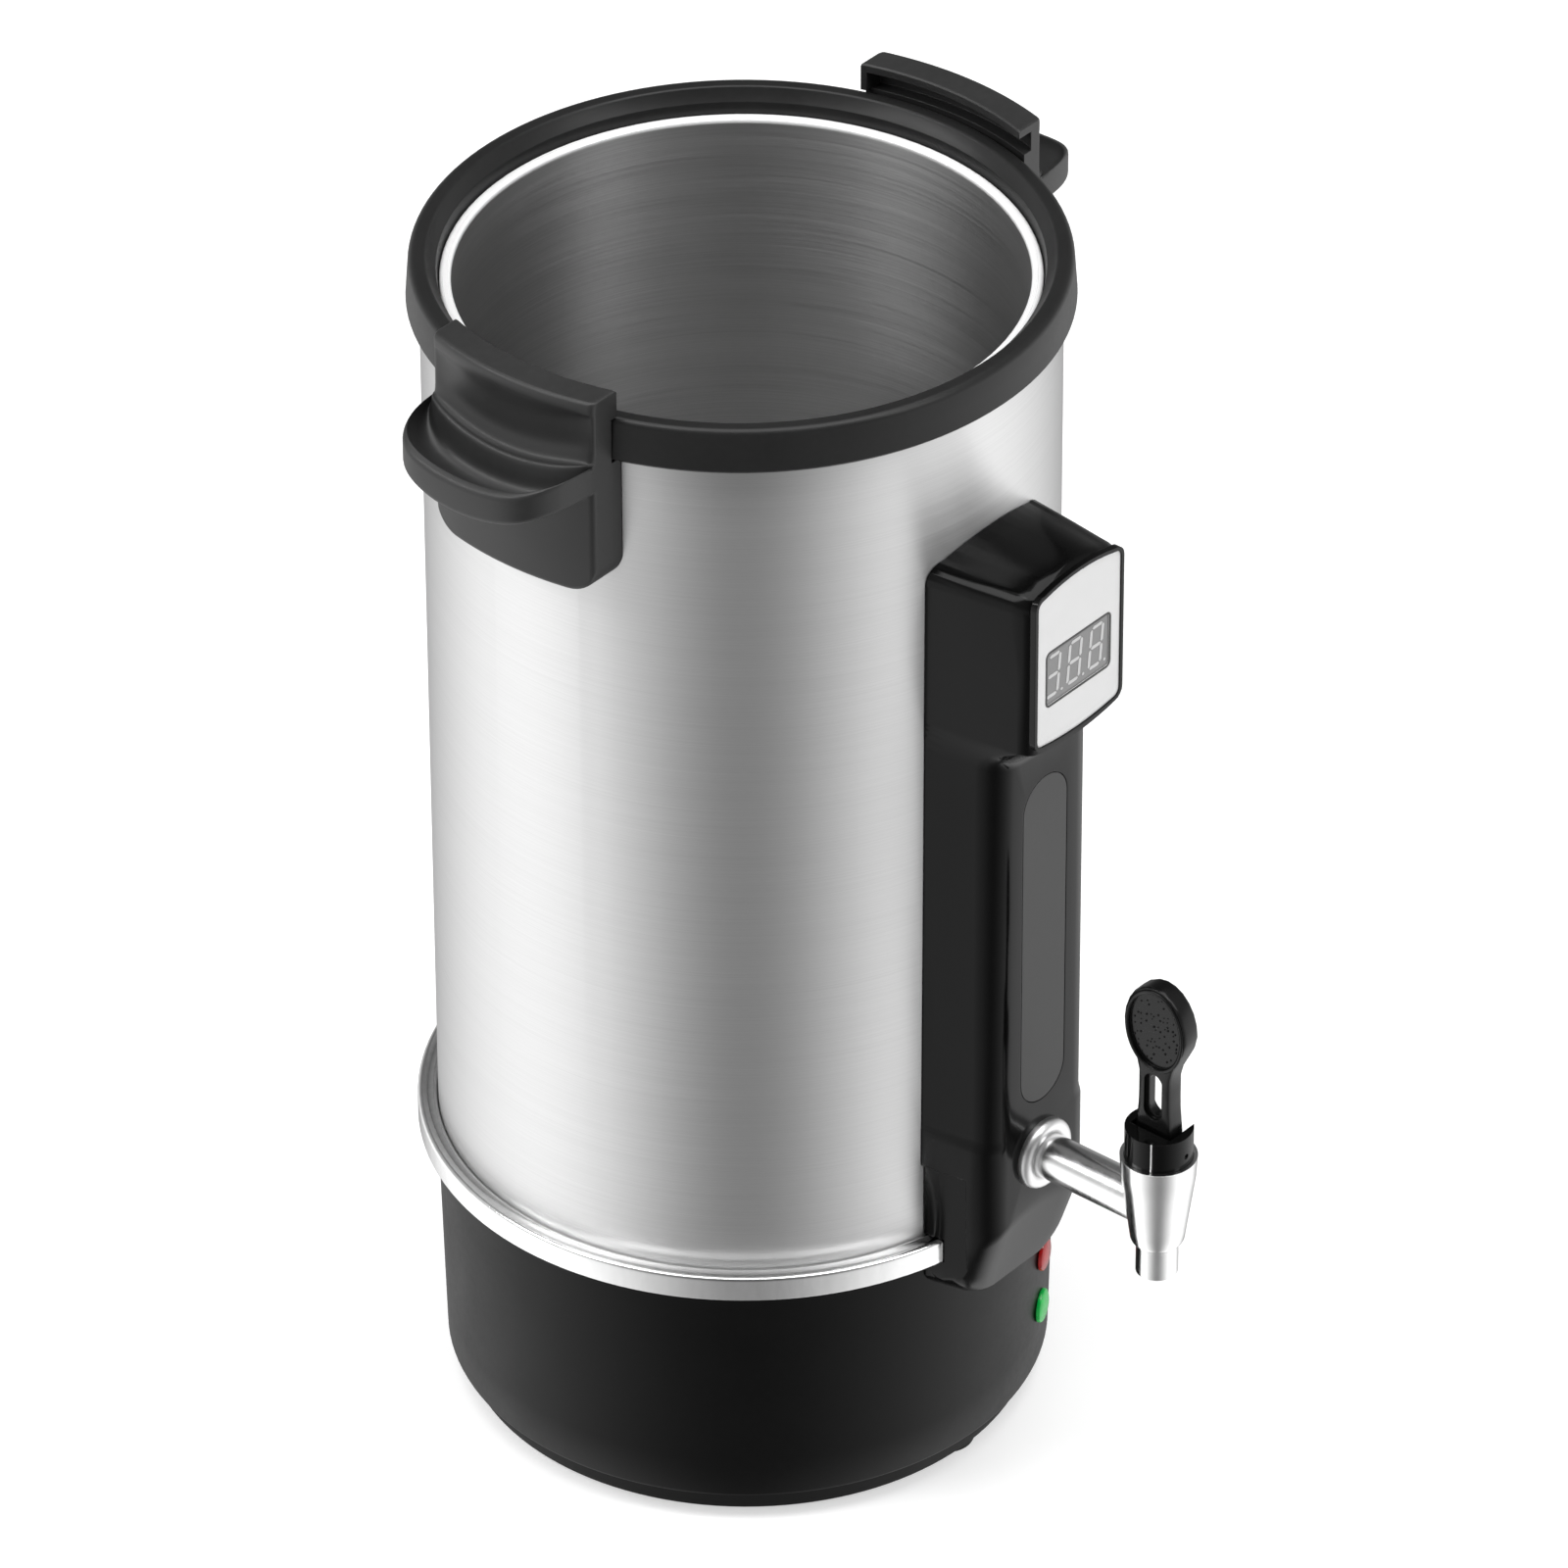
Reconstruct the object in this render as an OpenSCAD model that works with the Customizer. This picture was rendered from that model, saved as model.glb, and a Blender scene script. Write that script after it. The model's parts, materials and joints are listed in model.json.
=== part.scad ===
// Countertop candle wax melter: a steel pot in a steel jacket on a heated base,
// with a moulded display panel on the front and a lever tap at its foot.
// The pot's axis is the Z axis, the floor is z = 0, and the tap points along -Y.

/* [Body] */
// Outer radius of the steel shell
shell_r = 105; // [100:1:115]
// Sheet thickness of the shell
shell_t = 0.8; // [0.6:0.1:1.2]
// Height of the shell, from the trim ring to its top edge
shell_h = 336.5; // [320:1:360]
// Air gap between the pot and the shell
jacket_gap = 9; // [8:0.5:12]
// Sheet thickness of the pot
pot_t = 0.8; // [0.6:0.1:1.2]
// Height of the pot's floor above the base
pot_lift = 15.7; // [14:0.1:18]
// Radius of the pot's bottom corner
pot_corner_r = 7; // [4:0.5:10]

/* [Rim] */
// Height of the black rim
rim_h = 15.7; // [14:0.1:18]
// How far the rim stands out from the shell
rim_overhang = 4.3; // [3.5:0.1:5]
// How far the rim's groove swallows the top of the shell
rim_grip = 11; // [8:0.5:12]
// Width of the rim's flat top, from its inner edge outwards
rim_top_w = 7.1; // [5:0.1:7.5]
// Depth of the pot's lip below the top of the rim
pot_lip_drop = 7.8; // [6:0.1:9]
// Width of the pot's bright lip
pot_lip_w = 3.9; // [3:0.1:4.5]

/* [Base] */
// Radius of the base at its top
base_top_r = 105.6; // [105:0.1:108]
// Radius of the base at its bottom
base_low_r = 103.5; // [101:0.1:105]
// Height of the base's side
base_h = 89.6; // [80:0.1:110]
// Wall thickness of the base
base_t = 2.5; // [2:0.1:3]
// Height of the recessed bottom tray
tray_h = 8.7; // [7:0.1:12]
// Radius of the recessed bottom tray
tray_r = 98; // [96:0.5:100]
// Height of the rubber feet below the tray
foot_h = 2; // [1.5:0.1:4]
// Radius of a rubber foot
foot_r = 10; // [8:0.5:11]
// Number of rubber feet
foot_count = 3; // [3:1:4]
// Outer radius of the steel trim ring
trim_r = 112; // [110:0.5:114]
// Height of the steel trim ring
trim_h = 8.7; // [7:0.1:10]

/* [Handles] */
// Half of a handle's width
handle_half = 33.7; // [30:0.1:38]
// Thickness of a handle, from the shell to its outer face
handle_depth = 13.2; // [12.5:0.1:15]
// Reach of the finger lip beyond the handle's outer face
lip_reach = 24; // [18:0.5:28]
// Depth of a handle below the top of the rim
handle_drop = 62.7; // [56:0.1:70]
// Height of the lid slot over the rim
slot_h = 7.3; // [6:0.1:9]
// Thickness of the plate over the lid slot
hook_t = 3; // [2.5:0.1:4]
// Radius of a handle's bottom corners
handle_corner_r = 10; // [6:0.5:14]

/* [Display panel] */
// Height of the panel housing
panel_h = 295; // [285:1:305]
// Depth of its bottom below the top of the base
panel_drop = 14.3; // [12:0.1:18]
// Distance from the pot's axis to the panel's waist
waist_front = 128.5; // [126:0.1:132]
// Distance from the pot's axis to the display head
head_front = 140.6; // [138:0.1:145]
// Half of the housing's width where it meets the shell, at the top
panel_half = 29; // [26:0.1:30]
// Half of the housing's width across its waist
waist_half = 25.5; // [23.5:0.1:26]
// Half of the display head's width
head_half = 24.4; // [22.5:0.1:25]
// Height of the display head
head_h = 67; // [62:0.5:72]
// Wall thickness of the housing
panel_t = 2.5; // [2:0.1:3]
// Width of the display window
window_w = 32; // [28:0.5:33]
// Height of the display window
window_h = 20; // [16:0.5:22]
// Width of the inset strip
inset_w = 22.4; // [16:0.1:24]
// Height of the inset strip
inset_h = 130; // [100:1:130]

/* [Tap] */
// Height of the tap's axis above the base
tap_lift = 39.7; // [36:0.1:42]
// Distance from the pot's axis to the tap's body
tap_reach = 178; // [172:1:190]
// Radius of the tap's shank
shank_r = 7.85; // [7:0.05:8.5]
// Radius of the shank's bore
shank_bore_r = 4.5; // [3.5:0.1:5]
// Radius of the tap's top rim
tap_top_r = 13; // [12.5:0.1:14]
// Radius of the tap's body above the spout
tap_low_r = 9.15; // [8.8:0.05:9.6]
// Radius of the spout
spout_r = 7.1; // [6.5:0.05:7.5]
// Length of the spout's straight end
spout_h = 11; // [9:0.5:16]
// Radius of the spout's bore
spout_bore_r = 5; // [4:0.1:5.5]
// Radius of the black bonnet above the rim
bonnet_r = 11.5; // [11:0.1:11.6]
// Width of the lever's thumb disc
paddle_w = 26; // [22:0.5:30]
// Thickness of the lever
paddle_t = 7.4; // [6:0.1:8]
// Height of the lever above its pin
lever_h = 64.5; // [56:0.5:72]

/* [Controls] */
// Radius of the thermostat knob
knob_r = 18; // [16:0.5:20]
// Length of the thermostat knob
knob_h = 16; // [14:0.5:20]
// Radius of the numbered dial
dial_r = 22; // [20:0.5:24]
// Height of the knob and the power inlet above the base's bottom
control_lift = 39.3; // [36:0.1:44]
// Radius of an indicator lamp's lens
lamp_r = 6; // [5:0.1:7]
// Height of the upper lamp above the base's bottom
lamp_high = 46.3; // [42:0.1:56]
// Height of the lower lamp above the base's bottom
lamp_low = 24; // [20:0.1:28]
// Angle of the lamps round the base, from the tap
lamp_turn = 24; // [16:1:32]

/* [Heater] */
// Radius of the cast heater plate
plate_r = 78; // [72:1:84]
// Thickness of the heater plate
plate_t = 6; // [5:0.1:7]
// Radius of the heating element's ring
element_ring_r = 60; // [52:1:64]
// Radius of the heating element's sheath
element_r = 3.3; // [3:0.1:3.6]

/* [Hidden] */
$fn = 96;

// Overrun of every cut, and the clearances between pieces
overrun = 1;
seat_gap = 0.3;
fit_gap = 0.15;
running_gap = 0.05;

// Share of a small edge's size at which its middle point lies
round_share = 0.3;

// Levels, from the floor up
tray_z = foot_h;
base_z = tray_z + tray_h;
deck_z = base_z + base_h;
trim_foot_t = 1.2;
shell_z = deck_z + trim_foot_t;
shell_top = shell_z + shell_h;
rim_z = shell_top - rim_grip;
rim_top = rim_z + rim_h;
pot_floor_z = deck_z + pot_lift;
pot_top = rim_top - pot_lip_drop;
panel_z = deck_z - panel_drop;
panel_top = panel_z + panel_h;
tap_z = deck_z + tap_lift;
control_z = base_z + control_lift;

// Radii, from the shell inwards
shell_in_r = shell_r - shell_t;
pot_out_r = shell_in_r - jacket_gap;
pot_in_r = pot_out_r - pot_t;

// An arc of points round (cx, cy)
function arc(cx, cy, r, from, to, steps) =
    [for (i = [0 : steps]) let (a = from + (to - from) * i / steps)
        [cx + r * cos(a), cy + r * sin(a)]];

// Linear blend, and a smooth step between 0 and 1
function blend(a, b, t) = a + (b - a) * t;
function clamp(t) = max(0, min(1, t));
function smooth(t) = let (u = clamp(t)) u * u * (3 - 2 * u);

// Triangles that skin rows of points, each row a closed loop of n points
function skin_sides(rows, n) = [for (r = [0 : rows - 2], i = [0 : n - 1]) let (j = (i + 1) % n)
    each [[r * n + i, r * n + j, (r + 1) * n + j], [r * n + i, (r + 1) * n + j, (r + 1) * n + i]]];
function skin_faces(rows, n) = concat(skin_sides(rows, n),
    [[for (i = [n - 1 : -1 : 0]) i], [for (i = [0 : n - 1]) (rows - 1) * n + i]]
);

// The same for loops with two like halves, whose ends are closed by rungs from half to half
function rung(i, n) = i + 1 == n - 2 - i ? [i, i + 1, n - 1 - i] : [i, i + 1, n - 2 - i, n - 1 - i];
function ladder_faces(rows, n) = concat(skin_sides(rows, n),
    [for (i = [0 : floor(n / 2) - 1]) let (q = rung(i, n)) [for (k = [len(q) - 1 : -1 : 0]) q[k]]],
    [for (i = [0 : floor(n / 2) - 1]) [for (k = rung(i, n)) k + (rows - 1) * n]]
);

// Placing along the four directions round the pot
module along_front(y, z) translate([0, -y, z]) rotate([90, 0, 0]) children();
module along_back(y, z) translate([0, y, z]) rotate([-90, 0, 0]) children();
module along_right(x, z) translate([x, 0, z]) rotate([0, 90, 0]) children();
module ring_of(count, start = 0) for (i = [0 : count - 1]) rotate([0, 0, start + i * 360 / count]) children();

module tube(outer, inner, h) {
    difference() {
        cylinder(r = outer, h = h);
        translate([0, 0, -overrun]) cylinder(r = inner, h = h + 2 * overrun);
    }
}

// A pan-head screw that points up from its head's underside at z = 0
module screw(shank, head, head_h, length) {
    translate([0, 0, -head_h]) cylinder(r = head, h = head_h);
    cylinder(r = shank, h = length);
}

// A hexagonal nut with a plain bore, standing on z = 0
module hex_nut(flat_r, bore, h) {
    difference() {
        cylinder(r = flat_r / cos(30), h = h, $fn = 6);
        translate([0, 0, -overrun]) cylinder(r = bore, h = h + 2 * overrun);
    }
}

// SHELL, POT AND RIM

// Inward flange that ties the shell down to the base
shell_foot_w = 9.2;
shell_foot_in_r = shell_in_r - shell_foot_w;
lead_hole_r = 5;
lead_hole_drop = 25;
lead_hole_z = tap_z - lead_hole_drop;
lead_hole_x = 14;

module outer_shell() {
    color("silver") difference() {
        rotate_extrude() polygon([
            [shell_foot_in_r, shell_z], [shell_r, shell_z], [shell_r, shell_top],
            [shell_in_r, shell_top], [shell_in_r, shell_z + shell_t],
            [shell_foot_in_r, shell_z + shell_t]
        ]);
        along_front(shell_in_r - overrun * 4, tap_z)
            cylinder(r = shank_r + seat_gap, h = shell_t + 8 * overrun);
        translate([lead_hole_x, 0, 0]) along_front(shell_in_r - overrun * 4, lead_hole_z)
            cylinder(r = lead_hole_r, h = shell_t + 8 * overrun);
        housing_screw_places() cylinder(r = small_hole_r, h = 2 * jacket_gap, center = true);
        handle_screw_places() cylinder(r = small_hole_r, h = 2 * jacket_gap, center = true);
        mirror([1, 0, 0]) handle_screw_places()
            cylinder(r = small_hole_r, h = 2 * jacket_gap, center = true);
        ring_of(deck_screw_count, deck_screw_turn) translate([0, -deck_screw_ring_r, shell_z - overrun])
            cylinder(r = small_hole_r, h = shell_t + 2 * overrun);
    }
}

// The pot's rolled lip rests on the rim's inner shoulder
lip_bead_h = 2.4;
stud_r = 2;
stud_h = 12;
stud_ring_r = 36;
stud_count = 3;
// Angle of the first stud, in degrees
stud_turn = 60;
lip_r = pot_in_r + pot_lip_w;

module inner_pot() {
    bead = lip_bead_h / 2;
    color("gray") {
        difference() {
            rotate_extrude() polygon(concat(
                [[0, pot_floor_z]],
                arc(pot_out_r - pot_corner_r, pot_floor_z + pot_corner_r, pot_corner_r, -90, 0, 8),
                [[pot_out_r, pot_top - lip_bead_h]],
                arc(lip_r - bead, pot_top - bead, bead, -90, 90, 8),
                arc(pot_in_r + bead, pot_top - bead, bead, 90, 180, 4),
                arc(pot_out_r - pot_corner_r, pot_floor_z + pot_corner_r, pot_corner_r - pot_t, 0, -90, 8),
                [[0, pot_floor_z + pot_t]]
            ));
            along_front(pot_in_r - 4 * overrun, tap_z)
                cylinder(r = shank_r + running_gap, h = pot_t + 8 * overrun);
        }
        ring_of(stud_count, stud_turn) translate([0, -stud_ring_r, pot_floor_z - stud_h])
            cylinder(r = stud_r, h = stud_h + pot_t / 2);
    }
}

// The black rim: a channel over the shell's edge with a sloping inner face
rim_skirt_t = 2.4;
rim_skirt_drop = 3;
rim_edge_r = 2.6;
rim_inner_edge_r = 1.2;
rim_taper = 0.9;

module top_rim() {
    out_low = shell_r + rim_overhang;
    out_top = out_low - rim_taper;
    in_top = out_top - rim_top_w + rim_taper;
    shoulder_z = pot_top - lip_bead_h;
    shoulder_r = pot_out_r + fit_gap;
    skirt_in = shell_in_r - fit_gap - rim_skirt_t;
    color("#2b2b2b") rotate_extrude() polygon(concat(
        [[shell_r + fit_gap, rim_z]],
        [[out_low - rim_inner_edge_r, rim_z], [out_low, rim_z + rim_inner_edge_r]],
        arc(out_top - rim_edge_r, rim_top - rim_edge_r, rim_edge_r, 8, 90, 8),
        arc(in_top + rim_inner_edge_r, rim_top - rim_inner_edge_r, rim_inner_edge_r, 90, 165, 5),
        [[blend(in_top, lip_r, 0.75), blend(rim_top, pot_top, 0.55)]],
        [[lip_r + fit_gap + running_gap, pot_top - rim_inner_edge_r], [lip_r + fit_gap, shoulder_z]],
        [[shoulder_r, shoulder_z], [shoulder_r, shoulder_z - rim_skirt_t]],
        [[skirt_in, shoulder_z - 2 * rim_skirt_t], [skirt_in, rim_z - rim_skirt_drop]],
        [[skirt_in + rim_skirt_t, rim_z - rim_skirt_drop], [skirt_in + rim_skirt_t, shell_top]],
        [[shell_r + fit_gap, shell_top]]
    ));
}

// HANDLES

small_hole_r = 1.8;
small_screw_r = 1.6;
small_head_r = 3.4;
small_head_h = 2.2;
small_screw_h = 11;
handle_screw_y = 16;
handle_screw_lift = 14;
handle_out_r = shell_r + handle_depth;
handle_z = rim_top - handle_drop;
hook_z = rim_top + slot_h;
handle_top = hook_z + hook_t;
hook_inset = 2;
hook_in_r = shell_r + hook_inset;
hook_wall_t = 4.2;
handle_edge_r = 1.8;
lip_top_drop = 17.7;
lip_rise = 5;
lip_t = 13;
lip_t_loss = 3;
lip_edge = 2.6;
lip_fillet = 4;
trough_depth = 8;
ridge_reach = 4.5;
ridge_drop = 17;
scoop_depth = 1.6;
handle_stations = 22;
lip_end_share = 0.06;
end_round_r = 1.5;
// Share of the half width at which the lid slot's closed end starts
slot_end = 0.94;
slot_end_step = 0.01;
// Where the side outline of the lip is fullest, as powers of the share of the width
lip_power = 6;
scoop_power = 8;

// One section of a handle at a share s of its half width, as [distance from the axis, height],
// with the lid slot open or closed
function handle_section(s, closed) =
    let (
        past = max(0, abs(s) * handle_half - (handle_half - end_round_r)),
        drawn = end_round_r - sqrt(pow(end_round_r, 2) - pow(past, 2)),
        full = max(lip_end_share, sqrt(1 - pow(abs(s), lip_power))),
        fade = 1 - pow(abs(s), scoop_power),
        over = max(0, abs(s) * handle_half - (handle_half - handle_corner_r)),
        low = handle_z + handle_corner_r - sqrt(pow(handle_corner_r, 2) - pow(over, 2)),
        in_r = shell_r + seat_gap,
        notch_r = shell_r + rim_overhang + seat_gap,
        out = handle_out_r - drawn,
        top = handle_top - drawn * round_share,
        roof = closed ? rim_top + seat_gap : hook_z,
        wall = closed ? notch_r + 2 * seat_gap : out - hook_wall_t,
        tip = out + lip_reach * full,
        ridge_r = out + ridge_reach * full,
        lip_top = rim_top - lip_top_drop + lip_rise * s * s,
        lip_low = lip_top - lip_t + lip_t_loss * s * s,
        ridge_z = rim_top - ridge_drop + lip_rise * s * s,
        dip = trough_depth * full,
        scoop = scoop_depth * fade,
        edge = lip_edge * full,
        fil = lip_fillet * full,
        soft = handle_edge_r * round_share,
        edge_soft = edge * round_share,
        in_soft = fil * round_share
    )
    [
        [in_r, low], [out - handle_edge_r, low], [out - soft, low + soft], [out, low + handle_edge_r],
        [out, lip_low - fil], [out + in_soft, lip_low - in_soft], [out + fil, lip_low],
        [tip - edge, lip_low], [tip - edge_soft, lip_low + edge_soft], [tip, lip_low + edge],
        [tip, lip_top - edge], [tip - edge_soft, lip_top - edge_soft], [tip - edge, lip_top],
        [blend(tip, ridge_r, 0.25), lip_top - dip * 0.6], [blend(tip, ridge_r, 0.55), lip_top - dip],
        [blend(tip, ridge_r, 0.84), lip_top - dip * 0.9],
        [blend(tip, ridge_r, 0.97), lip_top - dip * 0.4],
        [ridge_r, ridge_z - dip * 0.1], [blend(ridge_r, out, 0.3), ridge_z + dip * 0.08],
        [blend(ridge_r, out, 0.7), ridge_z + dip * 0.1],
        [out - scoop * 0.2, ridge_z + lip_edge], [out - scoop * 0.8, ridge_z + 2 * lip_edge],
        [out - scoop, blend(ridge_z, top, 0.45)],
        [out - scoop * 0.8, blend(ridge_z, top, 0.7)],
        [out, top - handle_edge_r], [out - soft, top - soft], [out - handle_edge_r, top],
        [hook_in_r + soft, top], [hook_in_r, top - soft],
        [hook_in_r, roof], [wall, roof],
        [wall - (closed ? seat_gap : 0), rim_top], [notch_r, rim_top], [notch_r, rim_z - seat_gap],
        [in_r, rim_z - seat_gap]
    ];

module handle_body() {
    shares = [for (i = [0 : handle_stations]) sin(-90 + 180 * i / handle_stations)];
    sections = concat(
        [for (s = shares) if (s < slot_end) [s, handle_section(s, false)]],
        [[slot_end, handle_section(slot_end, false)]],
        [[slot_end + slot_end_step, handle_section(slot_end + slot_end_step, true)]],
        [for (s = shares) if (s > slot_end + slot_end_step) [s, handle_section(s, true)]]
    );
    n = len(sections[0][1]);
    points = [for (q = sections, p = q[1]) let (y = q[0] * handle_half)
        [sqrt(p[0] * p[0] - y * y), y, p[1]]];
    difference() {
        polyhedron(points = points, faces = skin_faces(len(sections), n), convexity = 8);
        handle_screw_places() cylinder(r = small_screw_r, h = small_screw_h - overrun);
    }
}

module handle_screw_places() {
    for (side = [-1, 1]) translate([0, side * handle_screw_y, 0])
        along_right(shell_in_r - small_head_h, handle_z + handle_screw_lift) children();
}

module handle_right() color("#3a3a3a") handle_body();

// The same handle turned half round, so that a lid locks by one turn
module handle_left() color("#3a3a3a") rotate([0, 0, 180]) handle_body();

module handle_screws() {
    color("silver") for (side = [0, 1]) mirror([side, 0, 0]) handle_screw_places()
        screw(small_screw_r, small_head_r, small_head_h, small_screw_h - 2 * overrun);
}

// TRIM RING, BASE AND FEET

trim_t = 1.2;
trim_bead_r = 1.6;
trim_groove = 0.6;

module trim_ring() {
    in_r = shell_r + fit_gap;
    top = deck_z + trim_h;
    color("silver") difference() {
        rotate_extrude() polygon(concat(
            [[shell_foot_in_r, deck_z], [in_r + trim_t, deck_z], [in_r + trim_t, top - trim_t - trim_bead_r]],
            [[trim_r - trim_t, top - trim_t - trim_bead_r], [trim_r - trim_t, deck_z], [trim_r, deck_z]],
            arc(trim_r - trim_bead_r, top - trim_bead_r, trim_bead_r, 0, 90, 6),
            [[blend(trim_r, in_r, 0.45), top - trim_groove], [blend(trim_r, in_r, 0.55), top - trim_groove]],
            arc(in_r + trim_bead_r, top - trim_bead_r, trim_bead_r, 90, 180, 6),
            [[in_r, shell_z], [shell_foot_in_r, shell_z]]
        ));
        deck_screw_places(deck_z - overrun) cylinder(r = small_hole_r, h = trim_foot_t + 2 * overrun);
    }
}

base_edge_r = 1.2;
base_flange_w = 19.5;
base_flange_in_r = base_low_r - base_flange_w;
deck_t = 3;
deck_screw_count = 4;
// Angle of the first deck screw, in degrees
deck_screw_turn = 45;
deck_screw_inset = 3.6;
deck_screw_ring_r = shell_foot_in_r + deck_screw_inset;
base_screw_inset = 8;
base_screw_ring_r = tray_r - base_screw_inset;
base_boss_r = 4.5;
base_boss_h = 19;
base_screw_h = 18;
dial_pad_margin = 2;
dial_pad_r = dial_r + dial_pad_margin;
dial_pad_out = 3.08;
dial_pad_x = base_r_at(control_z) + dial_pad_out;
pad_wall = 2.8;
inlet_pad_half_w = 29;
inlet_pad_half_h = 16;
inlet_pad_out = 2.88;
inlet_pad_y = base_r_at(control_z) + inlet_pad_out;
inlet_cut_w = 27.6;
inlet_cut_h = 20.4;
inlet_screw_x = 20;
bush_hole_r = 5.2;
stat_screw_pitch = 24;
stat_hole_r = 1.7;

// Radius of the tapered base at a height
function base_r_at(z) = blend(base_low_r, base_top_r, (z - base_z) / base_h);

module deck_screw_places(z) {
    ring_of(deck_screw_count, deck_screw_turn) translate([0, -deck_screw_ring_r, z]) children();
}

module base_screw_places(z) {
    ring_of(3, 60) translate([0, -base_screw_ring_r, z]) children();
}

module lamp_places(z) {
    rotate([0, 0, lamp_turn]) along_front(base_r_at(z), z) children();
}

module base_shell() {
    base_soft = base_edge_r * round_share;
    color("#262626") difference() {
        union() {
            rotate_extrude() polygon([
                [base_flange_in_r, base_z], [base_low_r - base_edge_r, base_z],
                [base_low_r - base_soft, base_z + base_soft],
                [base_low_r, base_z + base_edge_r], [base_top_r, deck_z],
                [shell_foot_in_r, deck_z], [shell_foot_in_r, deck_z - deck_t],
                [base_top_r - base_t, deck_z - deck_t], [base_low_r - base_t, base_z + base_t],
                [base_flange_in_r, base_z + base_t]
            ]);
            base_screw_places(base_z) cylinder(r = base_boss_r, h = base_boss_h);
            difference() {
                union() {
                    along_right(base_flange_in_r, control_z)
                        cylinder(r = dial_pad_r, h = dial_pad_x - base_flange_in_r);
                    translate([-inlet_pad_half_w, base_flange_in_r, control_z - inlet_pad_half_h])
                        cube([2 * inlet_pad_half_w, inlet_pad_y - base_flange_in_r, 2 * inlet_pad_half_h]);
                }
                translate([0, 0, base_z])
                    cylinder(r1 = base_low_r - base_t, r2 = base_top_r - base_t, h = base_h);
            }
        }
        along_right(base_flange_in_r, control_z)
            cylinder(r = dial_pad_r - base_t, h = dial_pad_x - pad_wall - base_flange_in_r);
        translate([base_t - inlet_pad_half_w, base_flange_in_r, control_z - inlet_pad_half_h + base_t])
            cube([2 * (inlet_pad_half_w - base_t), inlet_pad_y - pad_wall - base_flange_in_r,
                2 * (inlet_pad_half_h - base_t)]);
        base_screw_places(base_z - overrun) cylinder(r = small_screw_r, h = base_screw_h - tray_h + overrun);
        deck_screw_places(deck_z - deck_t - overrun)
            cylinder(r = small_hole_r, h = deck_t + 2 * overrun);
        along_right(dial_pad_x - pad_wall - overrun, control_z)
            cylinder(r = bush_hole_r, h = pad_wall + 2 * overrun);
        stat_screw_places(dial_pad_x - pad_wall - overrun)
            cylinder(r = stat_hole_r, h = pad_wall + 2 * overrun);
        translate([-inlet_cut_w / 2, inlet_pad_y - pad_wall - overrun, control_z - inlet_cut_h / 2])
            cube([inlet_cut_w, pad_wall + 2 * overrun, inlet_cut_h]);
        for (side = [-1, 1]) translate([side * inlet_screw_x, 0, 0])
            along_back(inlet_pad_y - pad_wall - overrun, control_z)
                cylinder(r = stat_hole_r, h = pad_wall + 2 * overrun);
        for (h = [lamp_low, lamp_high]) lamp_places(base_z + h)
            cylinder(r = lamp_stem_r + fit_gap, h = 4 * base_t, center = true);
    }
}

// Tray under the base, with its vents, screw posts and holes for the feet
tray_t = 2.5;
vent_count = 12;
vent_w = 4;
vent_in_r = 34;
vent_out_r = 66;
foot_inset = 10;
foot_ring_r = tray_r - foot_inset;
foot_neck_r = 3;
screw_sink_r = 4;
screw_sink_h = 2.9;

module base_plate() {
    color("#1c1c1c") difference() {
        union() {
            rotate_extrude() polygon([
                [0, tray_z], [tray_r, tray_z], [tray_r, base_z], [tray_r - tray_t, base_z],
                [tray_r - tray_t, tray_z + tray_t], [0, tray_z + tray_t]
            ]);
            base_screw_places(tray_z) cylinder(r = base_boss_r, h = tray_h);
        }
        base_screw_places(tray_z - overrun) cylinder(r = screw_sink_r, h = screw_sink_h + overrun);
        base_screw_places(tray_z) cylinder(r = small_hole_r, h = tray_h + overrun);
        foot_places() translate([0, 0, tray_z - overrun]) cylinder(r = foot_neck_r, h = tray_t + 2 * overrun);
        ring_of(vent_count, 15) translate([-vent_w / 2, -vent_out_r, tray_z - overrun])
            cube([vent_w, vent_out_r - vent_in_r, tray_t + 2 * overrun]);
    }
}

module foot_places() ring_of(foot_count) translate([0, -foot_ring_r, 0]) children();

foot_edge_r = 0.8;
foot_barb = 1.1;
foot_barb_h = 1.6;

module rubber_feet() {
    neck = foot_neck_r - running_gap;
    top = tray_z + tray_t;
    color("#151515") foot_places() rotate_extrude() polygon([
        [0, 0], [foot_r - foot_edge_r, 0], [foot_r - foot_edge_r * round_share, foot_edge_r * round_share],
        [foot_r, foot_edge_r], [foot_r, foot_h], [neck, foot_h], [neck, top],
        [neck + foot_barb, top], [neck, top + foot_barb_h], [0, top + foot_barb_h]
    ]);
}

module base_screws() {
    color("silver") base_screw_places(tray_z + screw_sink_h)
        screw(small_screw_r - running_gap, small_head_r, small_head_h, base_screw_h - screw_sink_h);
}

deck_nut_r = 2.75;
deck_nut_h = 2.4;
deck_screw_h = 9.6;
shield_t = 0.8;

module deck_screws() {
    color("silver") deck_screw_places(deck_z - deck_t) {
        screw(small_screw_r - running_gap, deck_nut_r, small_head_h, deck_screw_h);
        translate([0, 0, deck_t + trim_foot_t + shell_t + shield_t])
            hex_nut(deck_nut_r, small_screw_r, deck_nut_h);
    }
}

// DISPLAY PANEL

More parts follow.
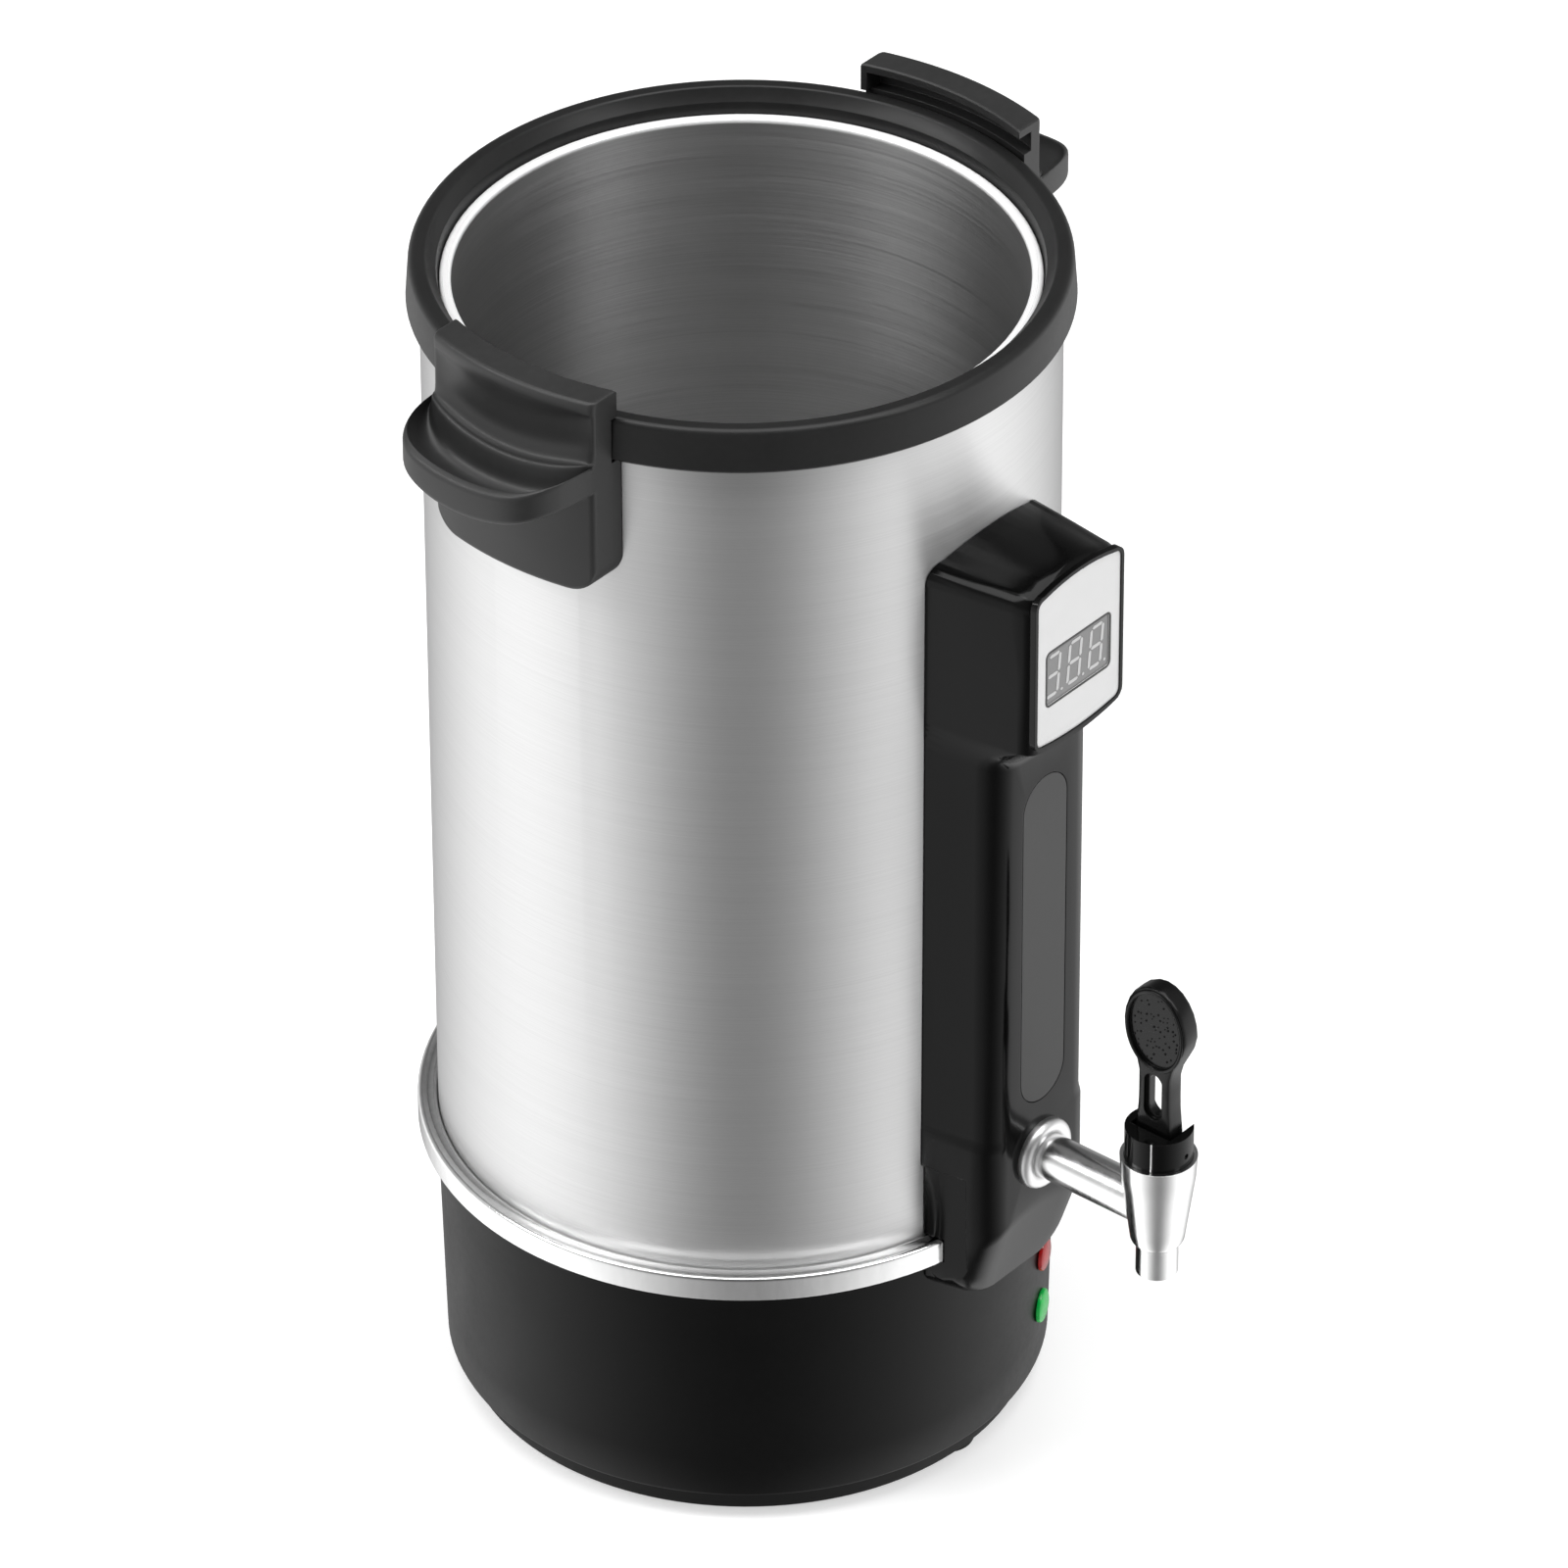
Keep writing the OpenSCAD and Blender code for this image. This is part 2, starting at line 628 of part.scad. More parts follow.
panel_foot_half = 30;
panel_back_drop = 15;
panel_back_y = shell_r - panel_back_drop;
panel_side_drop = 5.4;
panel_side_y = shell_r - panel_side_drop;
bottom_round = 10;
crown_r = 7;
crown_rise = 4;
crown_edge = 3;
head_corner_r = 5;
waist_corner_r = 9;
under_h = 12;
head_dip = 3;
chin_drop = 10.5;
chin_front = waist_front - chin_drop;
chin_lift = 28;
chin_rise = 8;
swell = 1.2;
swell_lift = 10;
swell_z = tap_z + swell_lift;
swell_h = 5;
crown_half = panel_half - crown_r;
crown_z = panel_top - crown_rise - crown_r;
head_z = panel_top - head_h;
chin_z = panel_z + chin_lift;

// Height of the crown's outline over a share of the head's half width
function crown_over(s) = let (x = abs(s) * panel_half)
    x <= crown_half ? panel_top - crown_rise * pow(x / crown_half, 2)
                    : crown_z + sqrt(max(0, pow(crown_r, 2) - pow(x - crown_half, 2)));

// How much of the head's depth stands out at a share s of the width and a height
function head_share(s, z) = pow(clamp((z - head_z - head_dip * s * s) / under_h + 1), 2);

// Distance from the pot's axis to the front face
function panel_depth(s, z) =
    let (
        front = blend(waist_front, head_front, head_share(s, z)),
        chin_top = chin_z + chin_rise * (1 - s * s),
        chin = blend(chin_front, waist_front, (z - panel_z) / (chin_top - panel_z)),
        near = clamp((crown_over(s) - z) / crown_edge),
        round_off = crown_edge * (1 - sqrt(1 - pow(1 - near, 2)))
    )
    min(front, chin) - round_off;

// Half of one level loop, from the shell round the corner to the centre line.
// A row is [height at the side, rise at the centre, loss of half width].
function panel_half_loop(row) =
    let (
        z = row[0],
        back = blend(panel_foot_half, panel_half, (z - panel_z) / panel_h),
        share = (back - row[2]) / back,
        grown = waist_half + swell * (1 - smooth((z - swell_z) / swell_h)),
        half = blend(grown, head_half, head_share(1, z)) * share,
        round_r = blend(waist_corner_r, head_corner_r, head_share(1, z)) * share,
        flat = half - round_r,
        edge_depth = panel_depth(flat / half * share, z)
    )
    concat(
        [[back * share, -panel_back_y, z], [back * share, -panel_side_y, z]],
        [[blend(back * share, half, 0.5), blend(-panel_side_y, round_r - edge_depth, 0.5), z]],
        [for (a = [0 : 22.5 : 90]) let (x = flat + round_r * cos(a), s = x / half)
            [x, round_r * (1 - sin(a)) - panel_depth(s * share, z + row[1] * (1 - s * s)),
                z + row[1] * (1 - s * s)]],
        [for (k = [4 : -1 : 0]) let (x = flat * k / 5, s = x / half)
            [x, -panel_depth(s * share, z + row[1] * (1 - s * s)), z + row[1] * (1 - s * s)]]
    );

function panel_loop(row) = let (half = panel_half_loop(row), last = len(half) - 1)
    concat(half, [for (i = [last - 1 : -1 : 0]) [-half[i][0], half[i][1], half[i][2]]]);

under_z = head_z + head_dip;
panel_rows = concat(
    [for (a = [0 : 18 : 90]) [panel_z + bottom_round * (1 - cos(a)), 0, bottom_round * (1 - sin(a))]],
    [for (k = [0.4, 0.75]) [blend(panel_z + bottom_round, chin_z, k), chin_rise * k, 0]],
    [for (k = [0, 0.4, 0.75, 1]) [chin_z + k * bottom_round * 2, chin_rise * (1 - k), 0]],
    [for (k = [0, 0.33, 0.67, 1]) [swell_z + k * swell_h, 0, 0]],
    [[under_z - under_h - bottom_round * 2, 0, 0], [under_z - under_h - bottom_round, -head_dip / 2, 0]],
    [for (k = [0, 0.3, 0.55, 0.75, 0.9, 1]) [under_z - under_h * (1 - k), -head_dip, 0]],
    [for (k = [0.3, 0.7, 1]) [blend(under_z, blend(head_z, crown_z, 0.6), k), -head_dip * (1 - k), 0]],
    [for (a = [0 : 18 : 90]) [crown_z + crown_r * sin(a), 0, crown_r * (1 - cos(a))]],
    [for (k = [0.35, 0.65, 0.85, 0.97]) [panel_top - crown_rise * (1 - k), 0,
        panel_half - crown_half * sqrt(1 - k)]]
);

// What the housing fits round: the shell, the trim ring and the base
module panel_seat() {
    rotate_extrude() polygon([
        [0, panel_z - overrun], [base_r_at(panel_z) + seat_gap, panel_z - overrun],
        [base_top_r + seat_gap, deck_z - seat_gap], [trim_r + seat_gap, deck_z - seat_gap],
        [trim_r + seat_gap, deck_z + trim_h + seat_gap], [shell_r + seat_gap, deck_z + trim_h + seat_gap],
        [shell_r + seat_gap, panel_top + overrun], [0, panel_top + overrun]
    ]);
}

// A hollow of the housing behind a front wall at the given depth
module panel_hollow(half, front, corner_r, low, high) {
    deep = front - panel_t;
    side = half - panel_t;
    cut = corner_r - panel_t;
    translate([0, 0, low]) linear_extrude(high - low) polygon([
        [-panel_half + panel_t, -panel_back_y + overrun], [-panel_half + panel_t, -panel_side_y],
        [-side, -deep + cut], [-side + cut, -deep],
        [side - cut, -deep], [side, -deep + cut],
        [panel_half - panel_t, -panel_side_y], [panel_half - panel_t, -panel_back_y + overrun]
    ]);
}

// An upright outline with round corners, a bowed top and a bowed bottom
function bowed_outline(half, low, high, dip, rise, corner) = concat(
    arc(half - corner, low + corner, corner, -80, 0, 4),
    arc(half - corner, high - corner, corner, 0, 80, 4),
    [for (k = [1 : -0.25 : -1]) [(half - corner) * k, high + rise * (1 - k * k)]],
    arc(corner - half, high - corner, corner, 100, 180, 4),
    arc(corner - half, low + corner, corner, 180, 260, 4),
    [for (k = [-1 : 0.25 : 1]) [(half - corner) * k, low - dip * (1 - k * k)]]
);

// Extrudes an upright outline from a depth in front of the axis towards the front
module front_plate(depth, thick, outline) {
    along_front(depth, 0) linear_extrude(thick) polygon(outline);
}

function stadium(half, low, high) = concat(
    arc(0, high - half, half, 0, 180, 16), arc(0, low + half, half, 180, 360, 16)
);

label_half = 21.3;
label_margin = 5;
label_low = head_z + label_margin;
label_high = panel_top - label_margin;
label_dip = 1.4;
label_rise = 2.3;
label_corner = 3;
label_t = 0.8;
bead_w = 1.5;
bead_h = 1.3;
window_lift = 29.3;
window_z = head_z + window_lift;
inset_lift = 22;
inset_z = tap_z + inset_lift;
inset_t = 1;
inset_gap = 0.35;
recess_lift = 24;
recess_z = chin_z + recess_lift;
recess_depth = 1.3;
recess_y = chin_front;
boss_r = 4;
post_r = 2.6;
post_x = 15.2;
post_low_lift = 12;
post_high_drop = 16;
post_low_z = head_z + post_low_lift;
post_high_z = panel_top - post_high_drop;
board_gap = 8.6;
board_t = 1.6;
board_screw_r = 1.1;
// Heights of the housing's screws, as shares of the way from the tap to the head
housing_screw_shares = [0.49, 0.95];
housing_screw_lifts = [for (share = housing_screw_shares) share * (head_z - tap_z)];

function label_outline(grow) = bowed_outline(label_half + grow, label_low - grow, label_high + grow,
    label_dip, label_rise, label_corner + grow);

function window_outline(grow) = bowed_outline(window_w / 2 + grow, window_z - window_h / 2 - grow,
    window_z + window_h / 2 + grow, 0, 0, label_corner / 2);

module housing_screw_places() {
    for (lift = housing_screw_lifts) along_front(shell_in_r - small_head_h, tap_z + lift) children();
}

module board_post_places(y) {
    for (x = [-post_x, post_x], z = [post_low_z, post_high_z])
        translate([x, 0, 0]) along_front(y, z) children();
}

module side_recess() {
    back = panel_foot_half;
    side_share = (recess_y - panel_side_y) / (waist_front - waist_corner_r - panel_side_y);
    front_x = blend(back, waist_half + swell, side_share);
    for (side = [0, 1]) mirror([side, 0, 0]) translate([0, 0, panel_z - overrun])
        linear_extrude(recess_z - panel_z + overrun) polygon([
            [2 * back, -recess_y], [2 * back, -panel_back_y], [back - recess_depth, -panel_back_y],
            [back - recess_depth, -panel_side_y], [front_x - recess_depth, -recess_y]
        ]);
}

module tap_housing() {
    loops = [for (row = panel_rows) panel_loop(row)];
    head_in = head_front - panel_t;
    color("#1a1a1a") difference() {
        union() {
            difference() {
                polyhedron(points = [for (loop = loops) each loop],
                    faces = skin_faces(len(loops), len(loops[0])), convexity = 8);
                panel_hollow(waist_half, waist_front, waist_corner_r, chin_z + chin_rise, crown_z);
                panel_hollow(head_half, head_front, head_corner_r, under_z + 2 * panel_t, crown_z);
                side_recess();
            }
            front_plate(head_front - overrun, bead_h + overrun, label_outline(bead_w));
            for (lift = housing_screw_lifts) along_front(shell_r, tap_z + lift)
                cylinder(r = boss_r, h = waist_front - panel_t / 2 - shell_r);
            board_post_places(head_in - board_gap) cylinder(r = post_r, h = board_gap + overrun);
        }
        panel_seat();
        front_plate(head_front, bead_h + overrun, label_outline(0));
        front_plate(head_in - overrun, panel_t + 3 * overrun, window_outline(fit_gap));
        front_plate(waist_front - inset_t, 2 * overrun + inset_t,
            stadium(inset_w / 2 + inset_gap, inset_z - inset_gap, inset_z + inset_h + inset_gap));
        along_front(shell_r, tap_z) cylinder(r = shank_r + seat_gap, h = waist_front);
        housing_screw_places() cylinder(r = small_screw_r, h = small_screw_h);
        board_post_places(head_in - board_gap - overrun) cylinder(r = board_screw_r, h = board_gap);
    }
}

module housing_screws() {
    color("silver") housing_screw_places() translate([0, 0, small_head_h - fit_gap])
        screw(small_screw_r, small_head_r, small_head_h, small_screw_h - small_head_h - overrun);
}

module display_label() {
    color("white") difference() {
        front_plate(head_front, label_t, label_outline(-running_gap));
        front_plate(head_front - overrun, label_t + 2 * overrun, window_outline(0));
    }
}

// The lens fills the window, with a flange behind the housing's wall
lens_proud = 0.5;
lens_flange_w = 1.6;
lens_flange_t = 0.9;

module display_lens() {
    back = head_front - panel_t;
    color("#808080") union() {
        front_plate(back - running_gap, panel_t + lens_proud, window_outline(-running_gap));
        front_plate(back - lens_flange_t, lens_flange_t - running_gap, window_outline(lens_flange_w));
    }
}

led_w = 30;
led_h = 19;
led_gap = 0.4;
board_half_w = 18.2;
board_margin = 4;
chip_w = 14;
chip_h = 9;
chip_t = 2.2;

module display_board() {
    face = head_front - panel_t - board_gap;
    led_face = head_front - panel_t - lens_flange_t - led_gap;
    low = post_low_z - board_margin;
    high = post_high_z + board_margin;
    color("darkgreen") difference() {
        translate([-board_half_w, -face, low]) cube([2 * board_half_w, board_t, high - low]);
        board_post_places(face - board_t - overrun)
            cylinder(r = board_screw_r + fit_gap, h = board_t + 2 * overrun);
    }
    color("dimgray") translate([-led_w / 2, -led_face, window_z - led_h / 2])
        cube([led_w, led_face - face, led_h]);
    color("black") translate([-chip_w / 2, board_t - face, window_z - chip_h / 2])
        cube([chip_w, chip_t, chip_h]);
}

board_head_r = 2.1;
board_head_h = 1.6;

module board_screws() {
    color("silver") board_post_places(head_front - panel_t - board_gap - board_t)
        screw(board_screw_r, board_head_r, board_head_h, board_t + board_gap - 2 * overrun);
}

module inset_panel() {
    color("#4d4d4d") front_plate(waist_front - inset_t, inset_t,
        stadium(inset_w / 2, inset_z, inset_z + inset_h));
}

// TAP

escutcheon_r = 12.65;
escutcheon_edge = 1.4;
escutcheon_rim_r = 2.6;
escutcheon_floor = 2.2;
shank_inner_y = 82;
tap_top_lift = 22.4;
tap_band_h = 8.2;
tap_band_taper = 0.5;
spout_drop = 25;
socket_wall = 1.4;
socket_depth = 12.4;
chamber_r = 8;
seat_drop = 5;
seat_h = 4;
tap_top = tap_z + tap_top_lift;
spout_z = tap_z - spout_drop;
socket_r = tap_top_r - socket_wall;
socket_z = tap_top - socket_depth;
seat_top = tap_z - seat_drop;
seat_low = seat_top - seat_h;
spout_step = 0.3;
spout_step_h = 2;
cone_z = spout_z + spout_h + spout_step_h;
cone_edge = 1;

module tap_escutcheon() {
    bore = shank_r + fit_gap;
    color("silver") along_front(waist_front, tap_z) rotate_extrude() polygon(concat(
        [[bore, 0], [escutcheon_r, 0], [escutcheon_r, escutcheon_edge]],
        arc(escutcheon_r - escutcheon_rim_r, escutcheon_edge, escutcheon_rim_r, 10, 150, 9),
        [[bore, escutcheon_floor]]
    ));
}

module at_tap() translate([0, -tap_reach, 0]) children();

module tap_body() {
    color("silver") difference() {
        union() {
            at_tap() rotate_extrude() polygon([
                [0, spout_z], [spout_r, spout_z], [spout_r, spout_z + spout_h],
                [spout_r + spout_step, spout_z + spout_h], [spout_r + spout_step, cone_z],
                [tap_low_r - cone_edge * 0.4, cone_z], [tap_low_r, cone_z + cone_edge],
                [tap_top_r - tap_band_taper, tap_top - tap_band_h], [tap_top_r, tap_top], [0, tap_top]
            ]);
            along_front(shank_inner_y, tap_z) cylinder(r = shank_r, h = tap_reach - shank_inner_y);
        }
        at_tap() rotate_extrude() polygon([
            [0, spout_z - overrun], [spout_bore_r, spout_z - overrun], [spout_bore_r, seat_low],
            [chamber_r, seat_top], [chamber_r, socket_z], [socket_r, socket_z],
            [socket_r, tap_top + overrun], [0, tap_top + overrun]
        ]);
        along_front(shank_inner_y - overrun, tap_z)
            cylinder(r = shank_bore_r, h = tap_reach - shank_inner_y - chamber_r / 2);
    }
}

// The lever turns on a pin along Y. Its eccentric foot holds the stem down while
// the lever stands upright and lets the spring lift it as the lever is laid over.
pin_r = 1;
pin_lift = 26.5;
pin_z = tap_z + pin_lift;
pin_half = 10.8;
cam_r = 3;
cam_offset = 3.2;
cam_angle = 45;
cam_low = cam_offset * cos(cam_angle) + cam_r;
knuckle_r = 2.25;
neck_half = 2;
root_half = 8;
bonnet_lift = 34;
bonnet_floor_t = 3;
guide_r = 5.9;
stem_r = 1.9;
stem_gap = 0.08;
slot_left = 4.8;
slit_w = 1;
slit_depth = 1.2;
slit_turn = -65;

module tap_bonnet() {
    top = tap_z + bonnet_lift;
    room = root_half + 2 * fit_gap;
    color("#111111") difference() {
        at_tap() union() {
            translate([0, 0, socket_z]) cylinder(r = socket_r - running_gap, h = socket_depth);
            translate([0, 0, socket_z]) cylinder(r = bonnet_r, h = top - socket_z);
        }
        at_tap() {
            translate([0, 0, socket_z - overrun]) cylinder(r = stem_r + stem_gap, h = 2 * socket_depth);
            translate([0, 0, socket_z + bonnet_floor_t])
                cylinder(r = guide_r, h = pin_z - socket_z - bonnet_floor_t);
            along_front(-room, pin_z) cylinder(r = cam_offset + cam_r + 2 * fit_gap, h = 2 * room);
            translate([-slot_left, -room, pin_z - cam_low - 2 * fit_gap])
                cube([slot_left + 2 * bonnet_r, 2 * room, bonnet_lift]);
            rotate([0, 0, slit_turn]) translate([-slit_w / 2, -bonnet_r - overrun, tap_top])
                cube([slit_w, slit_depth + overrun, top - tap_top + overrun]);
            along_front(-2 * bonnet_r, pin_z) cylinder(r = pin_r, h = 4 * bonnet_r);
        }
    }
}

module lever_pin() {
    color("silver") at_tap() along_front(-pin_half, pin_z) cylinder(r = pin_r, h = 2 * pin_half);
}

paddle_half_h = 17;
paddle_edge = 1.3;
waist_w = 13;
waist_low = 19.5;
waist_high = 29;
root_lift = 2.5;
dish_margin = 2.4;
dish_depth = 0.9;
slot_w = 5;
slot_web = 3;
pocket_w = 7.5;
pocket_depth = 1.4;
recess_w = 10.4;
lever_slot_low = 13;
lever_slot_high = 29;
lever_steps = 10;

// Half width of the lever at a height over its pin, below the widest part of the disc
function lever_half(h) =
    h >= waist_high ? blend(waist_w / 2, paddle_w / 2,
                            smooth((h - waist_high) / (lever_h - paddle_half_h - waist_high)))
    : h >= waist_low ? waist_w / 2
    : blend(root_half - 2 * fit_gap, waist_w / 2, smooth((h - root_lift) / (waist_low - root_lift)));

// The lever's outline in the Y-Z plane, drawn in from its edge by an inset
function lever_outline(inset) =
    let (
        mid = lever_h - paddle_half_h,
        side = [for (k = [0 : lever_steps]) let (h = blend(root_lift, mid, k / lever_steps))
            [lever_half(h) - inset, h]],
        crown = [for (a = [15 : 15 : 165])
            [(paddle_w / 2 - inset) * cos(a), mid + (paddle_half_h - inset) * sin(a)]]
    )
    concat(side, crown, [for (k = [lever_steps : -1 : 0]) [-side[k][0], side[k][1]]]);

module lever_blade() {
    half = paddle_t / 2;
    soft = paddle_edge * round_share;
    levels = [[-half, paddle_edge], [-half + soft, soft], [-half + paddle_edge, 0],
        [half - paddle_edge, 0], [half - soft, soft], [half, paddle_edge]];
    loops = [for (level = levels) [for (p = lever_outline(level[1])) [level[0], -p[0], p[1]]]];
    polyhedron(points = [for (loop = loops) each loop],
        faces = ladder_faces(len(loops), len(loops[0])), convexity = 6);
}

// Outline of the lever's slot, or of a channel round it, at a width
module slot_outline(width) {
    rim = (width - slot_w) / 2;
    polygon(stadium(width / 2, lever_slot_low - rim, lever_slot_high + rim));
}

module tap_lever() {
    mid = lever_h - paddle_half_h;
    width = 2 * (root_half - fit_gap);
    web_x = pocket_depth - paddle_t / 2;
    color("#151515") translate([0, -tap_reach, pin_z]) difference() {
        union() {
            lever_blade();
            along_front(-width / 2, 0) {
                cylinder(r = knuckle_r, h = width);
                translate([-cam_offset * sin(cam_angle), -cam_offset * cos(cam_angle), 0])
                    cylinder(r = cam_r, h = width);
                translate([-neck_half, 0, 0]) cube([2 * neck_half, root_lift + overrun / 2, width]);
            }
        }
        along_front(-width, 0) cylinder(r = pin_r + running_gap, h = 2 * width);
        rotate([90, 0, 90]) translate([0, 0, -paddle_t / 2 - overrun]) linear_extrude(dish_depth + overrun)
            polygon([for (a = [0 : 7.5 : 359]) [(paddle_w / 2 - dish_margin) * cos(a),
                mid + (paddle_half_h - dish_margin) * sin(a)]]);
        rotate([90, 0, 90]) translate([0, 0, -paddle_t]) linear_extrude(2 * paddle_t)
            slot_outline(slot_w);
        rotate([90, 0, 90]) translate([0, 0, web_x - paddle_t]) linear_extrude(paddle_t)
            slot_outline(pocket_w);
        rotate([90, 0, 90]) translate([0, 0, web_x + slot_web]) linear_extrude(paddle_t)
            slot_outline(recess_w);
    }
}

stem_head_r = 5.5;
stem_head_t = 1.8;
stem_play = 0.24;
seal_r = 6.8;
seal_top_lift = 1;
seal_rise = 0.42;
seal_plug_r = 4.4;
seal_plug_h = 1.6;
stem_top = pin_z - cam_low - stem_play;
stem_low = seat_top + seal_rise;

module valve_stem() {
    color("silver") at_tap() {
        translate([0, 0, stem_low]) cylinder(r = stem_r, h = stem_top - stem_low);
        translate([0, 0, stem_top - stem_head_t]) cylinder(r = stem_head_r, h = stem_head_t);
    }
}

module seal_cup() {
    slope = seat_h / (chamber_r - spout_bore_r);
    low = seat_low + seal_rise;
    color("white") at_tap() difference() {
        rotate_extrude() polygon([
            [0, low - seal_plug_h], [seal_plug_r, low - seal_plug_h], [seal_plug_r, low],
            [spout_bore_r, low], [seal_r, low + slope * (seal_r - spout_bore_r)],
            [seal_r, tap_z], [seal_r / 2, tap_z + seal_top_lift], [0, tap_z + seal_top_lift]
        ]);
        translate([0, 0, stem_low]) cylinder(r = stem_r + running_gap, h = 2 * socket_depth);
    }
}

spring_wire_r = 0.45;
spring_coil_r = 4.2;
spring_turns = 3.5;
spring_sides = 6;
spring_steps = 14;

// A helix of round wire between the bonnet's floor and the stem's head
module valve_spring() {
    low = socket_z + bonnet_floor_t + spring_wire_r + running_gap;
    high = stem_top - stem_head_t - spring_wire_r - running_gap;
    rings = spring_turns * spring_steps;
    points = [for (k = [0 : rings], s = [0 : spring_sides - 1]) let (
            turn = 360 * k / spring_steps,
            around = -360 * s / spring_sides,
            r = spring_coil_r + spring_wire_r * cos(around)
        ) [r * cos(turn), r * sin(turn), blend(low, high, k / rings) + spring_wire_r * sin(around)]];
    color("silver") at_tap()
        polyhedron(points = points, faces = skin_faces(rings + 1, spring_sides), convexity = 8);
}

nut_flat_r = 12;
nut_h = 7;
gasket_r = 12;
gasket_t = 2.4;
spacer_r = 11;

module shank_nut() {
    color("silver") along_front(pot_in_r - gasket_t - nut_h - overrun, tap_z)
        hex_nut(nut_flat_r, shank_r + running_gap, nut_h);
}

// Silicone washers inside and outside the pot's wall, shaped to its curve
module shank_gaskets() {
    color("tomato") {
        intersection() {
            along_front(pot_in_r - gasket_t - overrun, tap_z)
                tube(gasket_r, shank_r + running_gap, 2 * gasket_t);
            cylinder(r = pot_in_r - running_gap, h = 2 * tap_z);
        }
        difference() {
            along_front(pot_in_r - gasket_t, tap_z)
                tube(gasket_r, shank_r + running_gap, 2 * gasket_t + pot_t);
            cylinder(r = pot_out_r + running_gap, h = 2 * tap_z);
        }
    }
}

module shank_spacer() {
    from = pot_in_r + gasket_t + pot_t;
    color("gray") intersection() {
        along_front(from, tap_z) tube(spacer_r, shank_r + running_gap, shell_r - from);
        cylinder(r = shell_in_r - running_gap, h = 2 * tap_z);
    }
}

// INDICATORS AND THERMOSTAT

lamp_stem_r = 4.6;
lamp_stem_h = 9;
lamp_brim_t = 1;
lamp_dome_h = 1.6;
lamp_nut_r = 7.5;
lamp_nut_h = 2.5;

module indicator(z) {
    gap = running_gap;
    lamp_places(z) rotate_extrude() polygon(concat(
        [[0, -lamp_stem_h], [lamp_stem_r, -lamp_stem_h], [lamp_stem_r, gap + fit_gap]],
        [[lamp_r, gap + fit_gap], [lamp_r, lamp_brim_t]],
        [for (a = [15 : 15 : 90]) [lamp_r * cos(a), lamp_brim_t + lamp_dome_h * sin(a)]]
    ));
}

module red_indicator() color("firebrick") indicator(base_z + lamp_high);

module green_indicator() color("green") indicator(base_z + lamp_low);

module indicator_nuts() {
    color("#202020") for (h = [lamp_low, lamp_high]) lamp_places(base_z + h)
        translate([0, 0, -base_t - lamp_nut_h - seat_gap])
            tube(lamp_nut_r, lamp_stem_r + fit_gap, lamp_nut_h);
}

stat_w = 27;
stat_depth = 19;
stat_bracket_w = 34;
stat_bracket_h = 14;
stat_bracket_t = 1.2;
bush_r = 5;
shaft_r = 3;
dial_t = 0.8;
shaft_tail = 6;
dial_x = dial_pad_x + dial_t;
stat_x = dial_pad_x - pad_wall;

module stat_screw_places(x) {
    for (side = [-1, 1]) translate([0, side * stat_screw_pitch / 2, 0]) along_right(x, control_z) children();
}

module thermostat() {
    color("tan") difference() {
        union() {
            translate([stat_x - stat_bracket_t - stat_depth, -stat_w / 2, control_z - stat_w / 2])
                cube([stat_depth, stat_w, stat_w]);
            translate([stat_x - stat_bracket_t, -stat_bracket_w / 2, control_z - stat_bracket_h / 2])
                cube([stat_bracket_t, stat_bracket_w, stat_bracket_h]);
            along_right(stat_x - stat_bracket_t, control_z)
                cylinder(r = bush_r, h = stat_bracket_t + pad_wall);
        }
        along_right(stat_x - stat_bracket_t - shaft_tail, control_z)
            cylinder(r = shaft_r + running_gap, h = 4 * shaft_tail);
        stat_screw_places(stat_x - stat_bracket_t - 2 * shaft_tail)
            cylinder(r = stat_screw_r, h = 4 * shaft_tail);
    }
}

stat_screw_r = 1.5;
stat_head_r = 2.8;
stat_head_h = 1.8;
stat_screw_h = 8;

module thermostat_screws() {
    color("silver") stat_screw_places(dial_x) mirror([0, 0, 1])
        screw(stat_screw_r - running_gap, stat_head_r, stat_head_h, stat_screw_h);
}

module knob_dial() {
    color("#303030") difference() {
        along_right(dial_pad_x, control_z) tube(dial_r, bush_hole_r, dial_t);
        stat_screw_places(dial_pad_x - overrun) cylinder(r = stat_hole_r, h = dial_t + 2 * overrun);
    }
}

knob_gap = 0.6;
knob_wall = 2;
skirt_h = 4;
grip_inset = 2.8;
grip_taper = 0.8;
grip_edge_r = 1.2;
flute_count = 14;
flute_r = 2;
flute_depth = 2.2;
pointer_w = 1.6;
pointer_depth = 0.8;
shaft_top_t = 3;

module thermostat_knob() {
    grip_r = knob_r - grip_inset;
    top_r = grip_r - grip_taper;
    color("#1a1a1a") along_right(dial_x + knob_gap, control_z) difference() {
        rotate_extrude() polygon(concat(
            [[0, knob_wall], [knob_r - knob_wall, knob_wall], [knob_r - knob_wall, 0], [knob_r, 0]],
            [[knob_r - grip_taper / 2, skirt_h - grip_taper], [knob_r - grip_taper, skirt_h]],
            [[grip_r, skirt_h]],
            arc(top_r - grip_edge_r, knob_h - grip_edge_r, grip_edge_r, 0, 90, 6),
            [[0, knob_h]]
        ));
        translate([0, 0, -overrun]) cylinder(r = shaft_r + running_gap, h = knob_h - shaft_top_t + overrun);
        for (i = [0 : flute_count - 1]) rotate([0, 0, (i + 0.5) * 360 / flute_count])
            translate([grip_r + flute_r - flute_depth, 0, skirt_h + grip_taper])
                cylinder(r = flute_r, h = knob_h);
        translate([-knob_r, -pointer_w / 2, knob_h - pointer_depth])
            cube([knob_r - shaft_r, pointer_w, pointer_depth + overrun]);
    }
}

